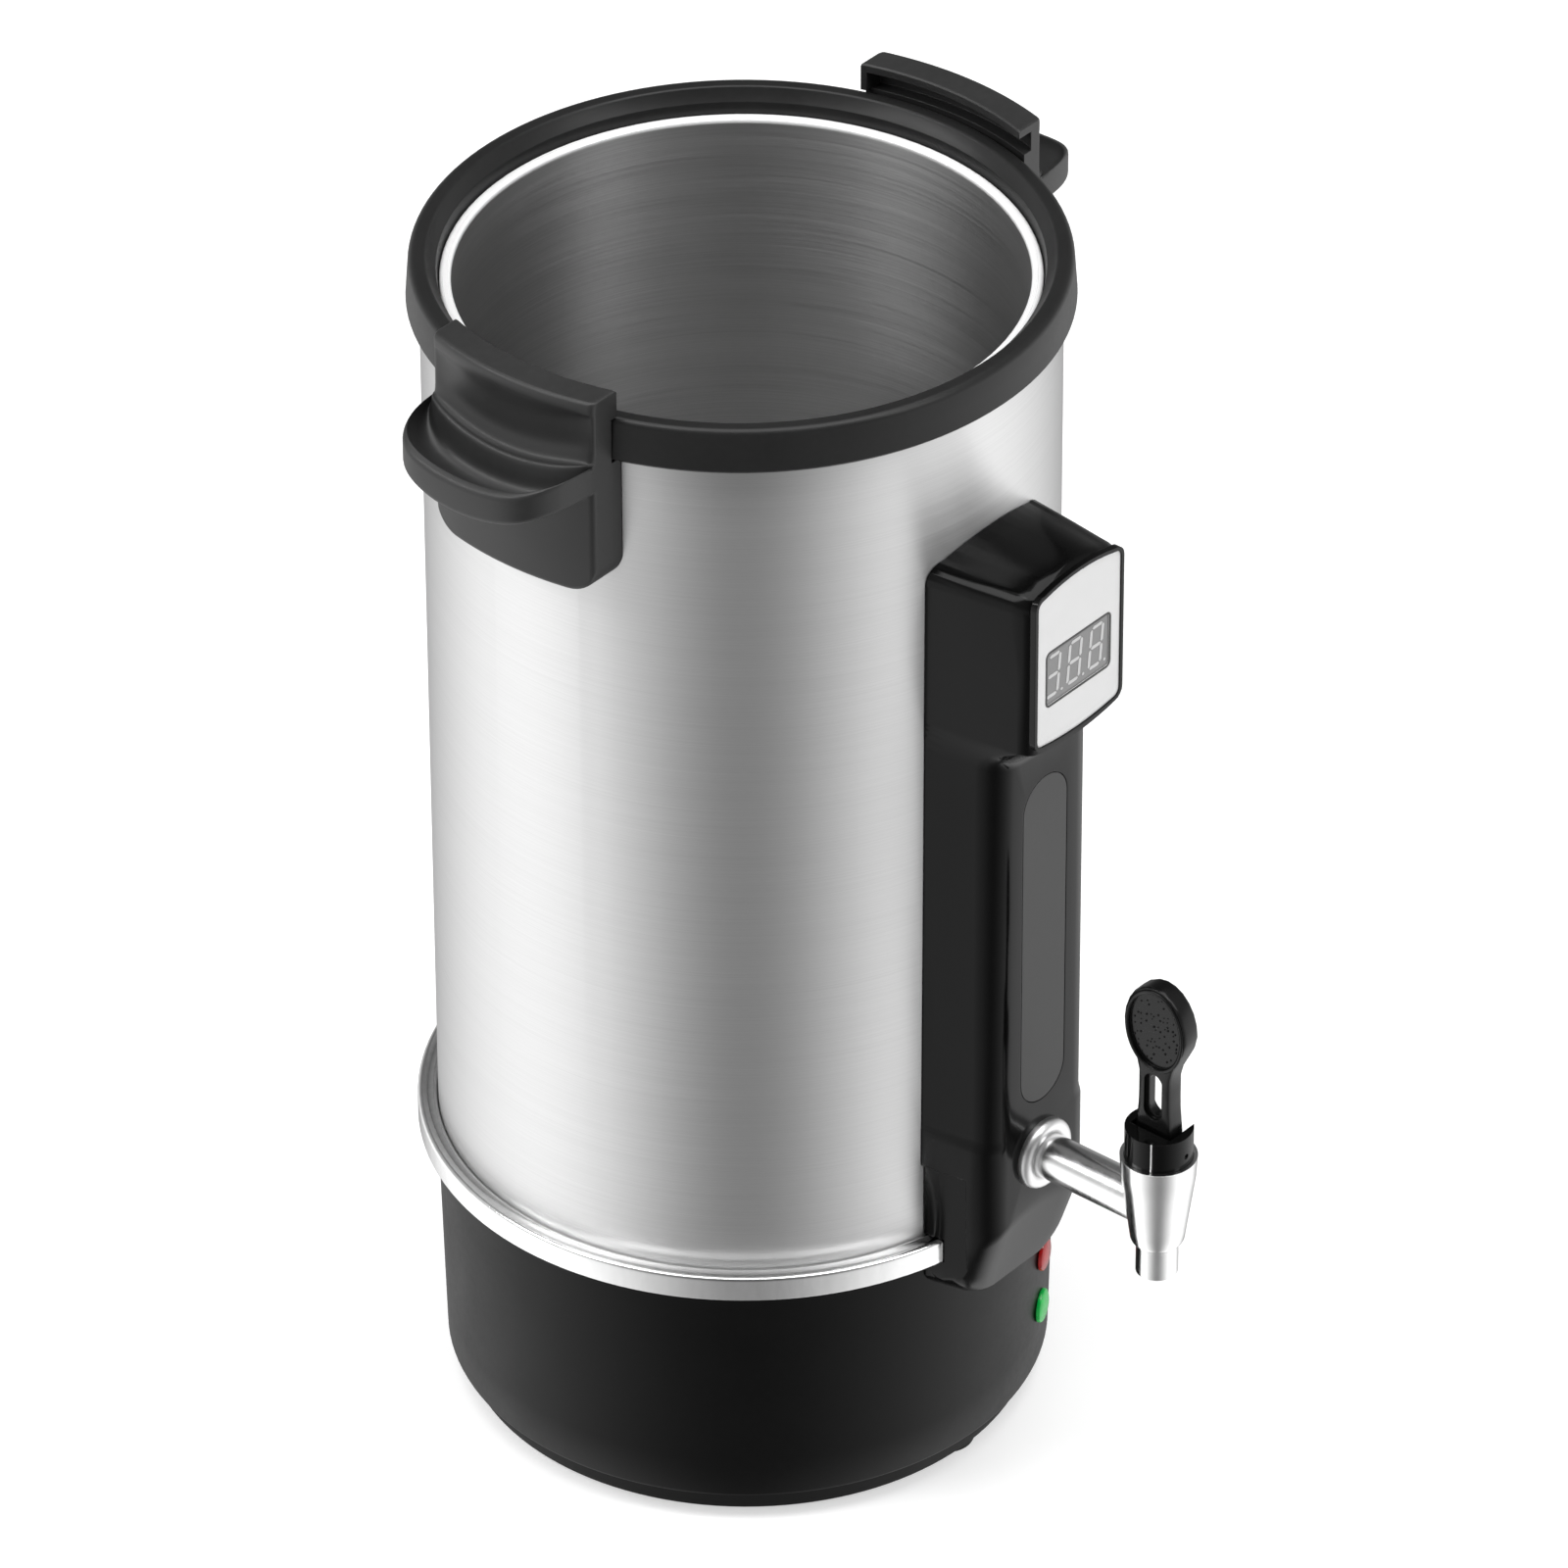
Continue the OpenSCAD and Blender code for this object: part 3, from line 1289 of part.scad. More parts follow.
module thermostat_shaft() {
    from = stat_x - stat_bracket_t - shaft_tail + running_gap;
    to = dial_x + knob_gap + knob_h - shaft_top_t - running_gap;
    color("silver") along_right(from, control_z) cylinder(r = shaft_r, h = to - from);
}

// HEATER

module heater_plate() {
    color("lightgray") difference() {
        translate([0, 0, pot_floor_z - plate_t]) cylinder(r = plate_r, h = plate_t);
        translate([0, 0, pot_floor_z - plate_t]) rotate_extrude()
            translate([element_ring_r, 0]) circle(r = element_r + running_gap);
        ring_of(stud_count, stud_turn) translate([0, -stud_ring_r, pot_floor_z - plate_t - overrun])
            cylinder(r = stud_r + fit_gap, h = plate_t + 2 * overrun);
    }
}

element_gap_angle = 26;
terminal_h = 11;
terminal_pin_r = 1.3;
terminal_pin_h = 5;

module heating_element() {
    color("dimgray") translate([0, 0, pot_floor_z - plate_t]) {
        rotate([0, 0, -90 + element_gap_angle / 2]) rotate_extrude(angle = 360 - element_gap_angle)
            translate([element_ring_r, 0]) circle(r = element_r);
        for (turn = [-1, 1]) rotate([0, 0, turn * element_gap_angle / 2]) translate([0, -element_ring_r, 0]) {
            sphere(r = element_r);
            translate([0, 0, -terminal_h]) cylinder(r = element_r, h = terminal_h);
            translate([0, 0, -terminal_h - terminal_pin_h])
                cylinder(r = terminal_pin_r, h = terminal_pin_h + overrun);
        }
    }
}

heater_nut_r = 3.5;
heater_nut_h = 3.2;

module heater_nuts() {
    color("silver") ring_of(stud_count, stud_turn)
        translate([0, -stud_ring_r, pot_floor_z - plate_t - heater_nut_h])
            hex_nut(heater_nut_r, stud_r + running_gap, heater_nut_h);
}

cutout_r = 8;
cutout_h = 7;
cutout_flange_w = 25;
cutout_flange_h = 9;
cutout_flange_t = 1;
cutout_blade_w = 6.3;
cutout_blade_t = 0.8;
cutout_blade_h = 6;

module thermal_cutout() {
    under = pot_floor_z - plate_t;
    color("black") translate([0, 0, under - cutout_h]) cylinder(r = cutout_r, h = cutout_h - cutout_flange_t);
    color("silver") {
        translate([-cutout_flange_w / 2, -cutout_flange_h / 2, under - cutout_flange_t])
            cube([cutout_flange_w, cutout_flange_h, cutout_flange_t]);
        for (side = [-1, 1]) translate([side * cutout_r / 2 - cutout_blade_t / 2, -cutout_blade_w / 2, 0])
            translate([0, 0, under - cutout_h - cutout_blade_h])
                cube([cutout_blade_t, cutout_blade_w, cutout_blade_h]);
    }
}

bulb_r = 3;
bulb_h = 44;
bulb_x = 22;
probe_r = 2.5;
probe_h = 18;
clip_w = 8;
clip_t = 0.8;
clip_foot = 6;

module thermostat_bulb() {
    color("peru") translate([bulb_x, 0, 0]) along_back(-bulb_h / 2, pot_floor_z - plate_t - bulb_r)
        cylinder(r = bulb_r, h = bulb_h);
}

module temperature_probe() {
    color("silver") translate([-bulb_x, 0, 0]) along_back(-probe_h / 2, pot_floor_z - plate_t - probe_r)
        cylinder(r = probe_r, h = probe_h);
}

// A saddle strap that holds a round body up against the heater plate
module saddle(r) {
    under = pot_floor_z - plate_t;
    difference() {
        union() {
            along_back(-clip_w / 2, under - r) cylinder(r = r + clip_t, h = clip_w);
            translate([-r - clip_t - clip_foot, -clip_w / 2, under - clip_t])
                cube([2 * (r + clip_t + clip_foot), clip_w, clip_t]);
        }
        along_back(-clip_w, under - r) cylinder(r = r + running_gap, h = 2 * clip_w);
        translate([-2 * r, -clip_w, under]) cube([4 * r, 2 * clip_w, 2 * r]);
        translate([-r, -clip_w, under - r]) cube([2 * r, 2 * clip_w, r + overrun]);
    }
}

module probe_clips() {
    color("silver") {
        translate([bulb_x, bulb_h / 4, 0]) saddle(bulb_r);
        translate([-bulb_x, 0, 0]) saddle(probe_r);
    }
}

// A thin dish between the hot pot and the wiring in the base
shield_drop = 16.3;
shield_floor_z = deck_z - shield_drop;
shield_in_gap = 0.5;
shield_flange_w = 7;
shield_hole_r = 9;

module heat_shield() {
    wall_r = shell_foot_in_r - shield_in_gap;
    low = shell_z + shell_t;
    color("silver") difference() {
        rotate_extrude() polygon([
            [shield_hole_r, shield_floor_z], [wall_r, shield_floor_z], [wall_r, low],
            [wall_r + shield_flange_w, low], [wall_r + shield_flange_w, low + shield_t],
            [wall_r - shield_t, low + shield_t], [wall_r - shield_t, shield_floor_z + shield_t],
            [shield_hole_r, shield_floor_z + shield_t]
        ]);
        deck_screw_places(low - overrun) cylinder(r = small_hole_r, h = shield_t + 2 * overrun);
    }
}

// POWER INLET AND TERMINALS

inlet_w = 50;
inlet_h = 22.8;
inlet_flange_t = 2.6;
inlet_body_w = 27;
inlet_body_h = 19.8;
inlet_depth = 22;
socket_w = 24.6;
socket_h = 16.4;
socket_t = 16;
socket_corner = 4;
pin_pitch = 7;
pin_rise = 2.4;
blade_w = 2;
blade_h = 4;
blade_out = 12.5;
blade_tail = 7;
inlet_head_r = 2.8;
inlet_head_h = 1.6;
inlet_screw_h = 8;

function socket_outline(half_w, half_h, cut) = [
    [-half_w, -half_h], [half_w, -half_h], [half_w, half_h - cut], [half_w - cut, half_h],
    [cut - half_w, half_h], [-half_w, half_h - cut]
];

module inlet_blades(grow, from, to) {
    for (p = [[-pin_pitch, -pin_rise], [pin_pitch, -pin_rise], [0, pin_rise]])
        translate([p[0] - blade_w / 2 - grow, from, control_z + p[1] - blade_h / 2 - grow])
            cube([blade_w + 2 * grow, to - from, blade_h + 2 * grow]);
}

module power_inlet() {
    face = inlet_pad_y + inlet_flange_t;
    color("#101010") difference() {
        union() {
            translate([-inlet_w / 2, inlet_pad_y, control_z - inlet_h / 2])
                cube([inlet_w, inlet_flange_t, inlet_h]);
            translate([-inlet_body_w / 2, inlet_pad_y - inlet_depth, control_z - inlet_body_h / 2])
                cube([inlet_body_w, inlet_depth + overrun, inlet_body_h]);
        }
        translate([0, face - socket_t, control_z]) rotate([90, 0, 180]) linear_extrude(socket_t + overrun)
            polygon(socket_outline(socket_w / 2, socket_h / 2, socket_corner));
        inlet_blades(running_gap, inlet_pad_y - inlet_depth - overrun, face);
        inlet_screw_places(inlet_pad_y - overrun) cylinder(r = stat_hole_r, h = inlet_flange_t + 2 * overrun);
    }
}

module inlet_screw_places(y) {
    for (side = [-1, 1]) translate([side * inlet_screw_x, 0, 0]) along_back(y, control_z) children();
}

module inlet_pins() {
    floor_y = inlet_pad_y + inlet_flange_t - socket_t;
    color("gold") inlet_blades(0, inlet_pad_y - inlet_depth - blade_tail, floor_y + blade_out);
}

module inlet_screws() {
    color("silver") inlet_screw_places(inlet_pad_y + inlet_flange_t) mirror([0, 0, 1])
        screw(stat_screw_r, inlet_head_r, inlet_head_h, inlet_screw_h);
}

block_w = 34;
block_d = 17;
block_h = 15;
block_y = 42;
block_ways = 3;
block_bore_r = 2.2;

module terminal_block() {
    pitch = block_w / block_ways;
    color("ivory") difference() {
        translate([-block_w / 2, block_y, tray_z + tray_t]) cube([block_w, block_d, block_h]);
        for (i = [0 : block_ways - 1]) translate([(i + 0.5) * pitch - block_w / 2, 0, 0])
            along_back(block_y - overrun, tray_z + tray_t + block_h / 2)
                cylinder(r = block_bore_r, h = block_d + 2 * overrun);
    }
}

outer_shell();
inner_pot();
top_rim();
handle_left();
handle_right();
handle_screws();
trim_ring();
base_shell();
base_plate();
rubber_feet();
base_screws();
deck_screws();
tap_housing();
housing_screws();
display_label();
display_lens();
display_board();
board_screws();
inset_panel();
tap_escutcheon();
tap_body();
tap_bonnet();
lever_pin();
tap_lever();
valve_stem();
seal_cup();
valve_spring();
shank_nut();
shank_gaskets();
shank_spacer();
red_indicator();
green_indicator();
indicator_nuts();
thermostat();
thermostat_shaft();
thermostat_screws();
thermostat_knob();
knob_dial();
heater_plate();
heating_element();
heater_nuts();
thermal_cutout();
thermostat_bulb();
temperature_probe();
probe_clips();
heat_shield();
power_inlet();
inlet_pins();
inlet_screws();
terminal_block();
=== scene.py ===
"""Looks of the candle wax melter: materials, small details, floor, light and camera."""

import json
import math
import random

import bmesh
import bpy
from mathutils import Matrix, Vector


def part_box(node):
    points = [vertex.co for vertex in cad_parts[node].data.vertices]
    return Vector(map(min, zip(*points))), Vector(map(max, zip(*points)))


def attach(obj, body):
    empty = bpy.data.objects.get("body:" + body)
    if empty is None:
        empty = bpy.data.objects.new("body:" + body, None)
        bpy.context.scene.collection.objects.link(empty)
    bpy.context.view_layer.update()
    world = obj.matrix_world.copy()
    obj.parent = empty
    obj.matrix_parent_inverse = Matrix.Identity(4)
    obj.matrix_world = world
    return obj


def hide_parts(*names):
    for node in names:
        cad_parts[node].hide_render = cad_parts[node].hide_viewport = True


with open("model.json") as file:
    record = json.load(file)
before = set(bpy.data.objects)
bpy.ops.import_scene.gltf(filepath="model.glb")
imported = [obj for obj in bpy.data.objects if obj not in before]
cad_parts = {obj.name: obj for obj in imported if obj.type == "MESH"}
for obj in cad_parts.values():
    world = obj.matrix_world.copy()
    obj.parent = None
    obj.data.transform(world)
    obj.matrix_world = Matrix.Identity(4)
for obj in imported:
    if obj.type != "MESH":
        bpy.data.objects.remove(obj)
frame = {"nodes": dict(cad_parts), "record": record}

# Whatever the start-up file holds goes before anything is measured.
for name in ("Cube", "Light", "Camera"):
    if name in bpy.data.objects:
        bpy.data.objects.remove(bpy.data.objects[name])

MM = 0.001
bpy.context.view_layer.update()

# ---------------------------------------------------------------- node trees


def rgb(colour):
    """A colour as three numbers, from a grey or from a colour."""
    return (colour,) * 3 if isinstance(colour, (int, float)) else tuple(colour)


def rgba(colour):
    return (*rgb(colour), 1.0)


def scaled(colour, share):
    return tuple(min(1.0, c * share) for c in rgb(colour))


class Graph:
    """A node tree, with short calls for nodes, links and values."""

    def __init__(self, tree):
        self.tree = tree

    def put(self, socket, value):
        if isinstance(value, bpy.types.NodeSocket):
            self.tree.links.new(value, socket)
        else:
            socket.default_value = value

    def node(self, kind, inputs=None, out=0, **settings):
        made = self.tree.nodes.new(kind)
        for key, value in settings.items():
            setattr(made, key, value)
        for key, value in (inputs or {}).items():
            self.put(made.inputs[key], value)
        return made.outputs[out]

    def parts(self, vector):
        """The three numbers of a vector."""
        made = self.tree.nodes.new("ShaderNodeSeparateXYZ")
        self.put(made.inputs[0], vector)
        return made.outputs

    def math(self, operation, a, b=0.0):
        return self.node("ShaderNodeMath", {0: a, 1: b}, operation=operation)

    def spread(self, value, low, high, start=0.3, stop=0.7):
        """A value from start to stop, carried over to low to high."""
        inputs = {"Value": value, "From Min": start, "From Max": stop,
                  "To Min": low, "To Max": high}
        return self.node("ShaderNodeMapRange", inputs)

    def weighed(self, a, b, share):
        """The sum of a and b, with share for a and the rest for b."""
        return self.math("ADD", self.math("MULTIPLY", a, share),
                         self.math("MULTIPLY", b, 1 - share))


class Look(Graph):
    """A material with its node tree, in the object's own coordinates."""

    def __init__(self, name):
        self.material = bpy.data.materials.new(name)
        self.material.use_nodes = True
        super().__init__(self.material.node_tree)
        self.surface = self.tree.nodes["Principled BSDF"]
        self.at = self.node("ShaderNodeTexCoord", out="Object")

    def stretch(self, x, y, z):
        return self.node("ShaderNodeMapping", {"Vector": self.at, "Scale": (x, y, z)})

    def noise(self, scale, detail=2.0, rough=0.5, vector=None):
        place = self.at if vector is None else vector
        inputs = {"Vector": place, "Scale": scale, "Detail": detail, "Roughness": rough}
        return self.node("ShaderNodeTexNoise", inputs)

    def mix(self, share, dark, light):
        """The colour between two, by a share from 0 to 1."""
        made = self.tree.nodes.new("ShaderNodeMix")
        made.data_type = "RGBA"
        self.put(made.inputs["Factor"], share)
        for socket, colour in (("A", dark), ("B", light)):
            linked = isinstance(colour, bpy.types.NodeSocket)
            self.put(made.inputs[socket], colour if linked else rgba(colour))
        return made.outputs["Result"]

    def mottled(self, share, colour, dark, light):
        """A colour that wanders between a darker and a lighter share of itself."""
        return self.mix(share, scaled(colour, dark), scaled(colour, light))

    def soft_normal(self, radius):
        return self.node("ShaderNodeBevel", {"Radius": radius * MM}, samples=4)

    def edges(self, radius):
        """1 on sharp edges, falling to 0 on open faces."""
        soft = self.soft_normal(radius)
        face = self.node("ShaderNodeNewGeometry", out="Normal")
        turned = self.node("ShaderNodeVectorMath", {0: soft, 1: face}, out="Value",
                           operation="DOT_PRODUCT")
        return self.spread(turned, 1.0, 0.0, 0.72, 0.995)

    def bump(self, height, strength, distance, normal=None):
        inputs = {"Height": height, "Strength": strength, "Distance": distance * MM}
        if normal is not None:
            inputs["Normal"] = normal
        return self.node("ShaderNodeBump", inputs)

    def finish(self, **sockets):
        for key, value in sockets.items():
            self.put(self.surface.inputs[key.replace("_", " ")], value)
        return self.material


# ---------------------------------------------------------------- materials

HAIRLINES = 3600.0        # hairlines of brushed steel, across the grain
HAIR_LENGTH = 14.0        # and along it
BROAD_LINES = 12          # how much broader the grain's bands are
HAIR_SHARE = 0.86         # hairlines against bands
# The pot's lip above its height is painted near-white, less metallic and smoother: a painted
# highlight ring.
LIP_HIGHLIGHT_COLOUR = 0.95
LIP_ROUGH = 0.3
LIP_HIGHLIGHT_METAL = 0.35          # the share of mirror left in the pot's lip, lowered so its painted highlight shows
LIP_FADE = 0.5 * MM


def brushed(name, colour, rough, contrast, stretch=0.8, lip=None):
    """Sheet steel brushed round the Z axis: long hairlines that follow the wall. Above the
    height of a lip the grain gives way to a smoother, near-white and less metallic colour: a
    painted highlight ring on the lip."""
    g = Look(name)
    parts = g.parts(g.at)
    x2 = g.math("POWER", parts["X"], 2.0)
    y2 = g.math("POWER", parts["Y"], 2.0)
    radius = g.math("SQRT", g.math("ADD", x2, y2))

    def grain(broader, detail, roughness):
        across, along = HAIRLINES / broader, HAIR_LENGTH / min(broader, 3)
        inputs = {"Vector": g.stretch(along, along, across),
                  "W": g.math("MULTIPLY", radius, across), "Scale": 1.0,
                  "Detail": detail, "Roughness": roughness}
        return g.node("ShaderNodeTexNoise", inputs, noise_dimensions="4D")

    lines = g.weighed(grain(1, 3.0, 0.65), grain(BROAD_LINES, 2.0, 0.5), HAIR_SHARE)
    base = g.mottled(g.spread(lines, 0.0, 1.0, 0.34, 0.66), colour, 1 - contrast, 1 + contrast)
    matt = g.spread(lines, rough - 0.05, rough + 0.05)
    metal = 1.0
    # Above the lip's height the colour turns near-white and less metallic: a painted highlight.
    if lip is not None:
        lip_highlight = g.spread(parts["Z"], 0.0, 1.0, lip - LIP_FADE, lip + LIP_FADE)
        base = g.mix(lip_highlight, base, LIP_HIGHLIGHT_COLOUR)
        matt = g.math("SUBTRACT", matt, g.math("MULTIPLY", lip_highlight, rough - LIP_ROUGH))
        metal = g.spread(lip_highlight, 1.0, LIP_HIGHLIGHT_METAL)
    return g.finish(
        Base_Color=base,
        Metallic=metal,
        Roughness=matt,
        Anisotropic=stretch,
        Anisotropic_Rotation=0.25,
        Tangent=g.node("ShaderNodeTangent", axis="Z", direction_type="RADIAL"),
        Normal=g.bump(lines, 0.12, 0.02, g.soft_normal(0.25)),
    )


def polished(name, colour, rough, smear=0.03):
    """Turned and polished steel: faint smears, tiny pits and softened edges."""
    g = Look(name)
    smears = g.noise(260.0, 4.0, 0.6, g.stretch(1.0, 1.0, 0.25))
    pits = g.noise(2600.0)
    return g.finish(
        Base_Color=g.mottled(g.spread(smears, 0.0, 0.8), colour, 0.94, 1.04),
        Metallic=1.0,
        Roughness=g.math("ADD", g.spread(smears, rough - smear, rough + smear),
                         g.math("MULTIPLY", g.edges(0.3), 0.05)),
        Normal=g.bump(pits, 0.06, 0.01, g.soft_normal(0.35)),
    )


def plastic(name, colour, rough, gloss=0.35, grain=1500.0, depth=0.1, worn=1.5,
            cloud=0.12, soft=0.4):
    """Moulded plastic: eroded texture, uneven gloss, pale worn edges."""
    g = Look(name)
    texture = g.noise(grain, 3.0, 0.55)
    patches = g.noise(34.0, 3.0)
    fine = g.noise(420.0, 3.0, 0.6)
    tone = g.weighed(patches, fine, 0.6)
    base = g.mottled(g.spread(tone, 0.0, 1.0), colour, 1 - cloud, 1 + cloud)
    scuffs = g.math("MULTIPLY", g.edges(soft), g.spread(fine, 0.25, 0.8))
    return g.finish(
        Base_Color=g.mix(scuffs, base, scaled(colour, worn)),
        Roughness=g.spread(tone, rough - 0.05, rough + 0.05),
        Specular_IOR_Level=gloss,
        Normal=g.bump(texture, depth, 0.05, g.soft_normal(soft)),
    )


def cast(name, colour, rough, depth=0.5):
    """Cast or drawn metal: mottled colour and a lightly pitted skin."""
    g = Look(name)
    mottle = g.noise(90.0, 5.0, 0.6)
    skin = g.noise(700.0, 4.0, 0.6)
    return g.finish(
        Base_Color=g.mottled(g.spread(mottle, 0.0, 1.0), colour, 0.82, 1.12),
        Metallic=1.0,
        Roughness=g.spread(skin, rough - 0.08, rough + 0.08),
        Normal=g.bump(skin, depth, 0.05, g.soft_normal(0.3)),
    )


def lamp(name, colour, glow):
    """Tinted clear plastic with a faint prism pattern. The lamp is unlit; its emission is a
    painted glow.
    """
    g = Look(name)
    prisms = g.node("ShaderNodeTexVoronoi", {"Vector": g.at, "Scale": 900.0}, out="Distance")
    clouds = g.noise(300.0)
    return g.finish(
        Base_Color=g.mottled(g.spread(clouds, 0.0, 1.0), colour, 0.8, 1.15),
        Roughness=g.spread(clouds, 0.14, 0.24),
        Specular_IOR_Level=0.5,
        Subsurface_Weight=0.15,
        Subsurface_Radius=(0.002, 0.001, 0.001),
        # The emission is a painted glow: the lamp itself is unlit.
        Emission_Color=rgba(colour),
        Emission_Strength=glow,
        Normal=g.bump(prisms, 0.08, 0.1, g.soft_normal(0.4)),
    )


def printed(name, colour):
    """A printed film: nearly flat, with the faint tooth of its varnish."""
    g = Look(name)
    tooth = g.noise(3200.0)
    tone = g.noise(60.0, 3.0)
    return g.finish(
        Base_Color=g.mottled(g.spread(tone, 0.0, 1.0), colour, 0.975, 1.01),
        Roughness=g.spread(tooth, 0.34, 0.44),
        Specular_IOR_Level=0.4,
        Normal=g.bump(tooth, 0.08, 0.02),
    )


def board(name):
    """Green solder mask over copper tracks."""
    g = Look(name)
    tracks = g.node("ShaderNodeTexBrick", {"Vector": g.at, "Scale": 90.0, "Mortar Size": 0.03},
                    out="Fac")
    weave = g.noise(900.0)
    return g.finish(
        Base_Color=g.mix(tracks, (0.008, 0.09, 0.035), (0.02, 0.2, 0.08)),
        Roughness=g.spread(weave, 0.25, 0.4),
        Normal=g.bump(tracks, 0.3, 0.05),
    )


# The height above which the pot's lip carries its painted highlight.
LIP_Z = 0.4333
MATERIALS = {
    "shell_steel": brushed("shell_steel_look", 0.6, 0.42, 0.06),
    "pot_steel": brushed("pot_steel_and_lip_highlight_look", 0.4, 0.4, 0.1, lip=LIP_Z),
    "bright_steel": polished("bright_steel_look", 0.82, 0.16),
    "tap_steel": polished("tap_steel_look", 0.8, 0.2),
    "fastener_steel": polished("fastener_steel_look", 0.6, 0.22),
    "black_plastic": plastic("black_plastic_look", 0.003, 0.36, gloss=0.1),
    "handle_plastic": plastic("handle_plastic_look", 0.017, 0.44, gloss=0.35, grain=1100.0,
                              depth=0.14),
    "panel_plastic": plastic("panel_plastic_look", 0.002, 0.14, gloss=0.13, depth=0.015,
                             grain=900.0),
    "lever_plastic": plastic("lever_plastic_look", 0.003, 0.22, gloss=0.2, depth=0.03),
    "knob_plastic": plastic("knob_plastic_look", 0.005, 0.36, gloss=0.3),
    "tray_plastic": plastic("tray_plastic_look", 0.006, 0.6, gloss=0.2, depth=0.25),
    "inset_grey": plastic("inset_grey_look", 0.055, 0.5, gloss=0.2, grain=1300.0, depth=0.14),
    "dial_plate": printed("dial_plate_look", 0.02),
    "black_rubber": plastic("black_rubber_look", 0.015, 0.75, gloss=0.2, depth=0.3),
    "label_white": printed("label_white_look", 0.66),
    "lens_grey": plastic("lens_grey_look", 0.16, 0.2, gloss=0.5, depth=0.02, cloud=0.06),
    "board_green": board("board_green_look"),
    "silicone": plastic("silicone_look", (0.6, 0.6, 0.58), 0.5, gloss=0.3, depth=0.1,
                        worn=1.1),
    "silicone_red": plastic("silicone_red_look", (0.35, 0.03, 0.02), 0.5, gloss=0.3,
                            depth=0.1, worn=1.1),
    # The lamps' emission is a painted glow on unlit lamps.
    "lamp_red": lamp("lamp_red_look", (0.3, 0.004, 0.004), 0.1),
    "lamp_green": lamp("lamp_green_look", (0.0, 0.36, 0.05), 0.2),
    "thermostat_case": cast("thermostat_case_look", (0.55, 0.55, 0.57), 0.35),
    "cast_aluminium": cast("cast_aluminium_look", (0.6, 0.61, 0.62), 0.5),
    "element_sheath": cast("element_sheath_look", (0.3, 0.27, 0.24), 0.45),
    "bulb_copper": cast("bulb_copper_look", (0.72, 0.34, 0.2), 0.3),
    "shield_aluminium": cast("shield_aluminium_look", (0.7, 0.71, 0.72), 0.35, depth=0.2),
    "pin_brass": cast("pin_brass_look", (0.75, 0.55, 0.25), 0.25, depth=0.1),
    "terminal_nylon": plastic("terminal_nylon_look", (0.7, 0.69, 0.64), 0.5, worn=1.05),
}
SEGMENT_GREY = printed("segment_look", 0.52)
SATIN_STEEL = polished("satin_steel_look", 0.72, 0.36)
RIM_BLACK = plastic("rim_black_look", 0.012, 0.34, gloss=0.2)
WINDOW_BLACK = plastic("window_black_look", 0.01, 0.35, gloss=0.4)
PRINT_WHITE = printed("number_white_look", 0.7)

# ---------------------------------------------------------------- CAD nodes

WELD = 0.004 * MM
NODE_CREASE = 28
MOULDED = ("handle_left", "handle_right", "tap_housing", "tap_lever")
IMPORTED_NORMALS = ("custom_normal", "sharp_edge")
OWN_LOOKS = {"tap_escutcheon": SATIN_STEEL, "top_rim": RIM_BLACK}


def smooth(made, crease=None, even=False):
    """Smooth shading between creases sharper than an angle in degrees."""
    for polygon in made.data.polygons:
        polygon.use_smooth = True
    if crease is not None:
        split = made.modifiers.new("crease", "EDGE_SPLIT")
        split.split_angle = math.radians(crease)
    if even:
        made.modifiers.new("even", "WEIGHTED_NORMAL").keep_sharp = True


def dress(node, material, even):
    """Gives a CAD node its material and smooth shading between sharp edges."""
    attributes = node.data.attributes
    for name in IMPORTED_NORMALS:
        if name in attributes:
            attributes.remove(attributes[name])
    weld = node.modifiers.new("weld", "WELD")
    weld.merge_threshold = WELD
    smooth(node, NODE_CREASE, even)
    for place in node.material_slots:
        place.material = material


for part in frame["record"]["subparts"]:
    name = part["node"]
    look = OWN_LOOKS.get(name, MATERIALS[part["material_slot"]])
    dress(frame["nodes"][name], look, name in MOULDED)

# ---------------------------------------------------------------- mesh tools


def piece(name, build, material, body):
    """Makes a mesh object from a bmesh routine and lets it ride on a body."""
    mesh = bpy.data.meshes.new(name)
    shape = bmesh.new()
    build(shape)
    bmesh.ops.recalc_face_normals(shape, faces=shape.faces)
    shape.to_mesh(mesh)
    shape.free()
    made = bpy.data.objects.new(name, mesh)
    bpy.context.scene.collection.objects.link(made)
    made.data.materials.append(material)
    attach(made, body)
    return made


def walls(shape, a, b):
    """Faces between two closed rows of vertices."""
    for i in range(len(a)):
        j = (i + 1) % len(a)
        shape.faces.new((a[i], a[j], b[j], b[i]))


def prism(shape, outline, low, high):
    """A solid between two copies of an outline: each point is mapped by low and high."""
    bottom = [shape.verts.new(low(p)) for p in outline]
    top = [shape.verts.new(high(p)) for p in outline]
    shape.faces.new(bottom)
    shape.faces.new(list(reversed(top)))
    walls(shape, bottom, top)


def band(shape, inner, outer, low, high):
    """A flat ring between two outlines of the same length."""
    rows = [[shape.verts.new(where(p)) for p in line]
            for line, where in ((inner, low), (outer, low), (outer, high), (inner, high))]
    for k, row in enumerate(rows):
        walls(shape, row, rows[(k + 1) % len(rows)])


def on_front(depth):
    """Maps panel coordinates (x, z) in mm to a plane y = -depth."""
    return lambda p: Vector((p[0], -depth, p[1])) * MM


def on_side(depth):
    """Maps knob coordinates (y, z) in mm to a plane x = depth."""
    return lambda p: Vector((depth, p[0], p[1])) * MM


def arc(centre, radius, start, turn, steps):
    """Points on an arc from a starting angle, in degrees."""
    angles = [math.radians(start + turn * i / steps) for i in range(steps + 1)]
    return [(centre[0] + radius * math.cos(a), centre[1] + radius * math.sin(a))
            for a in angles]


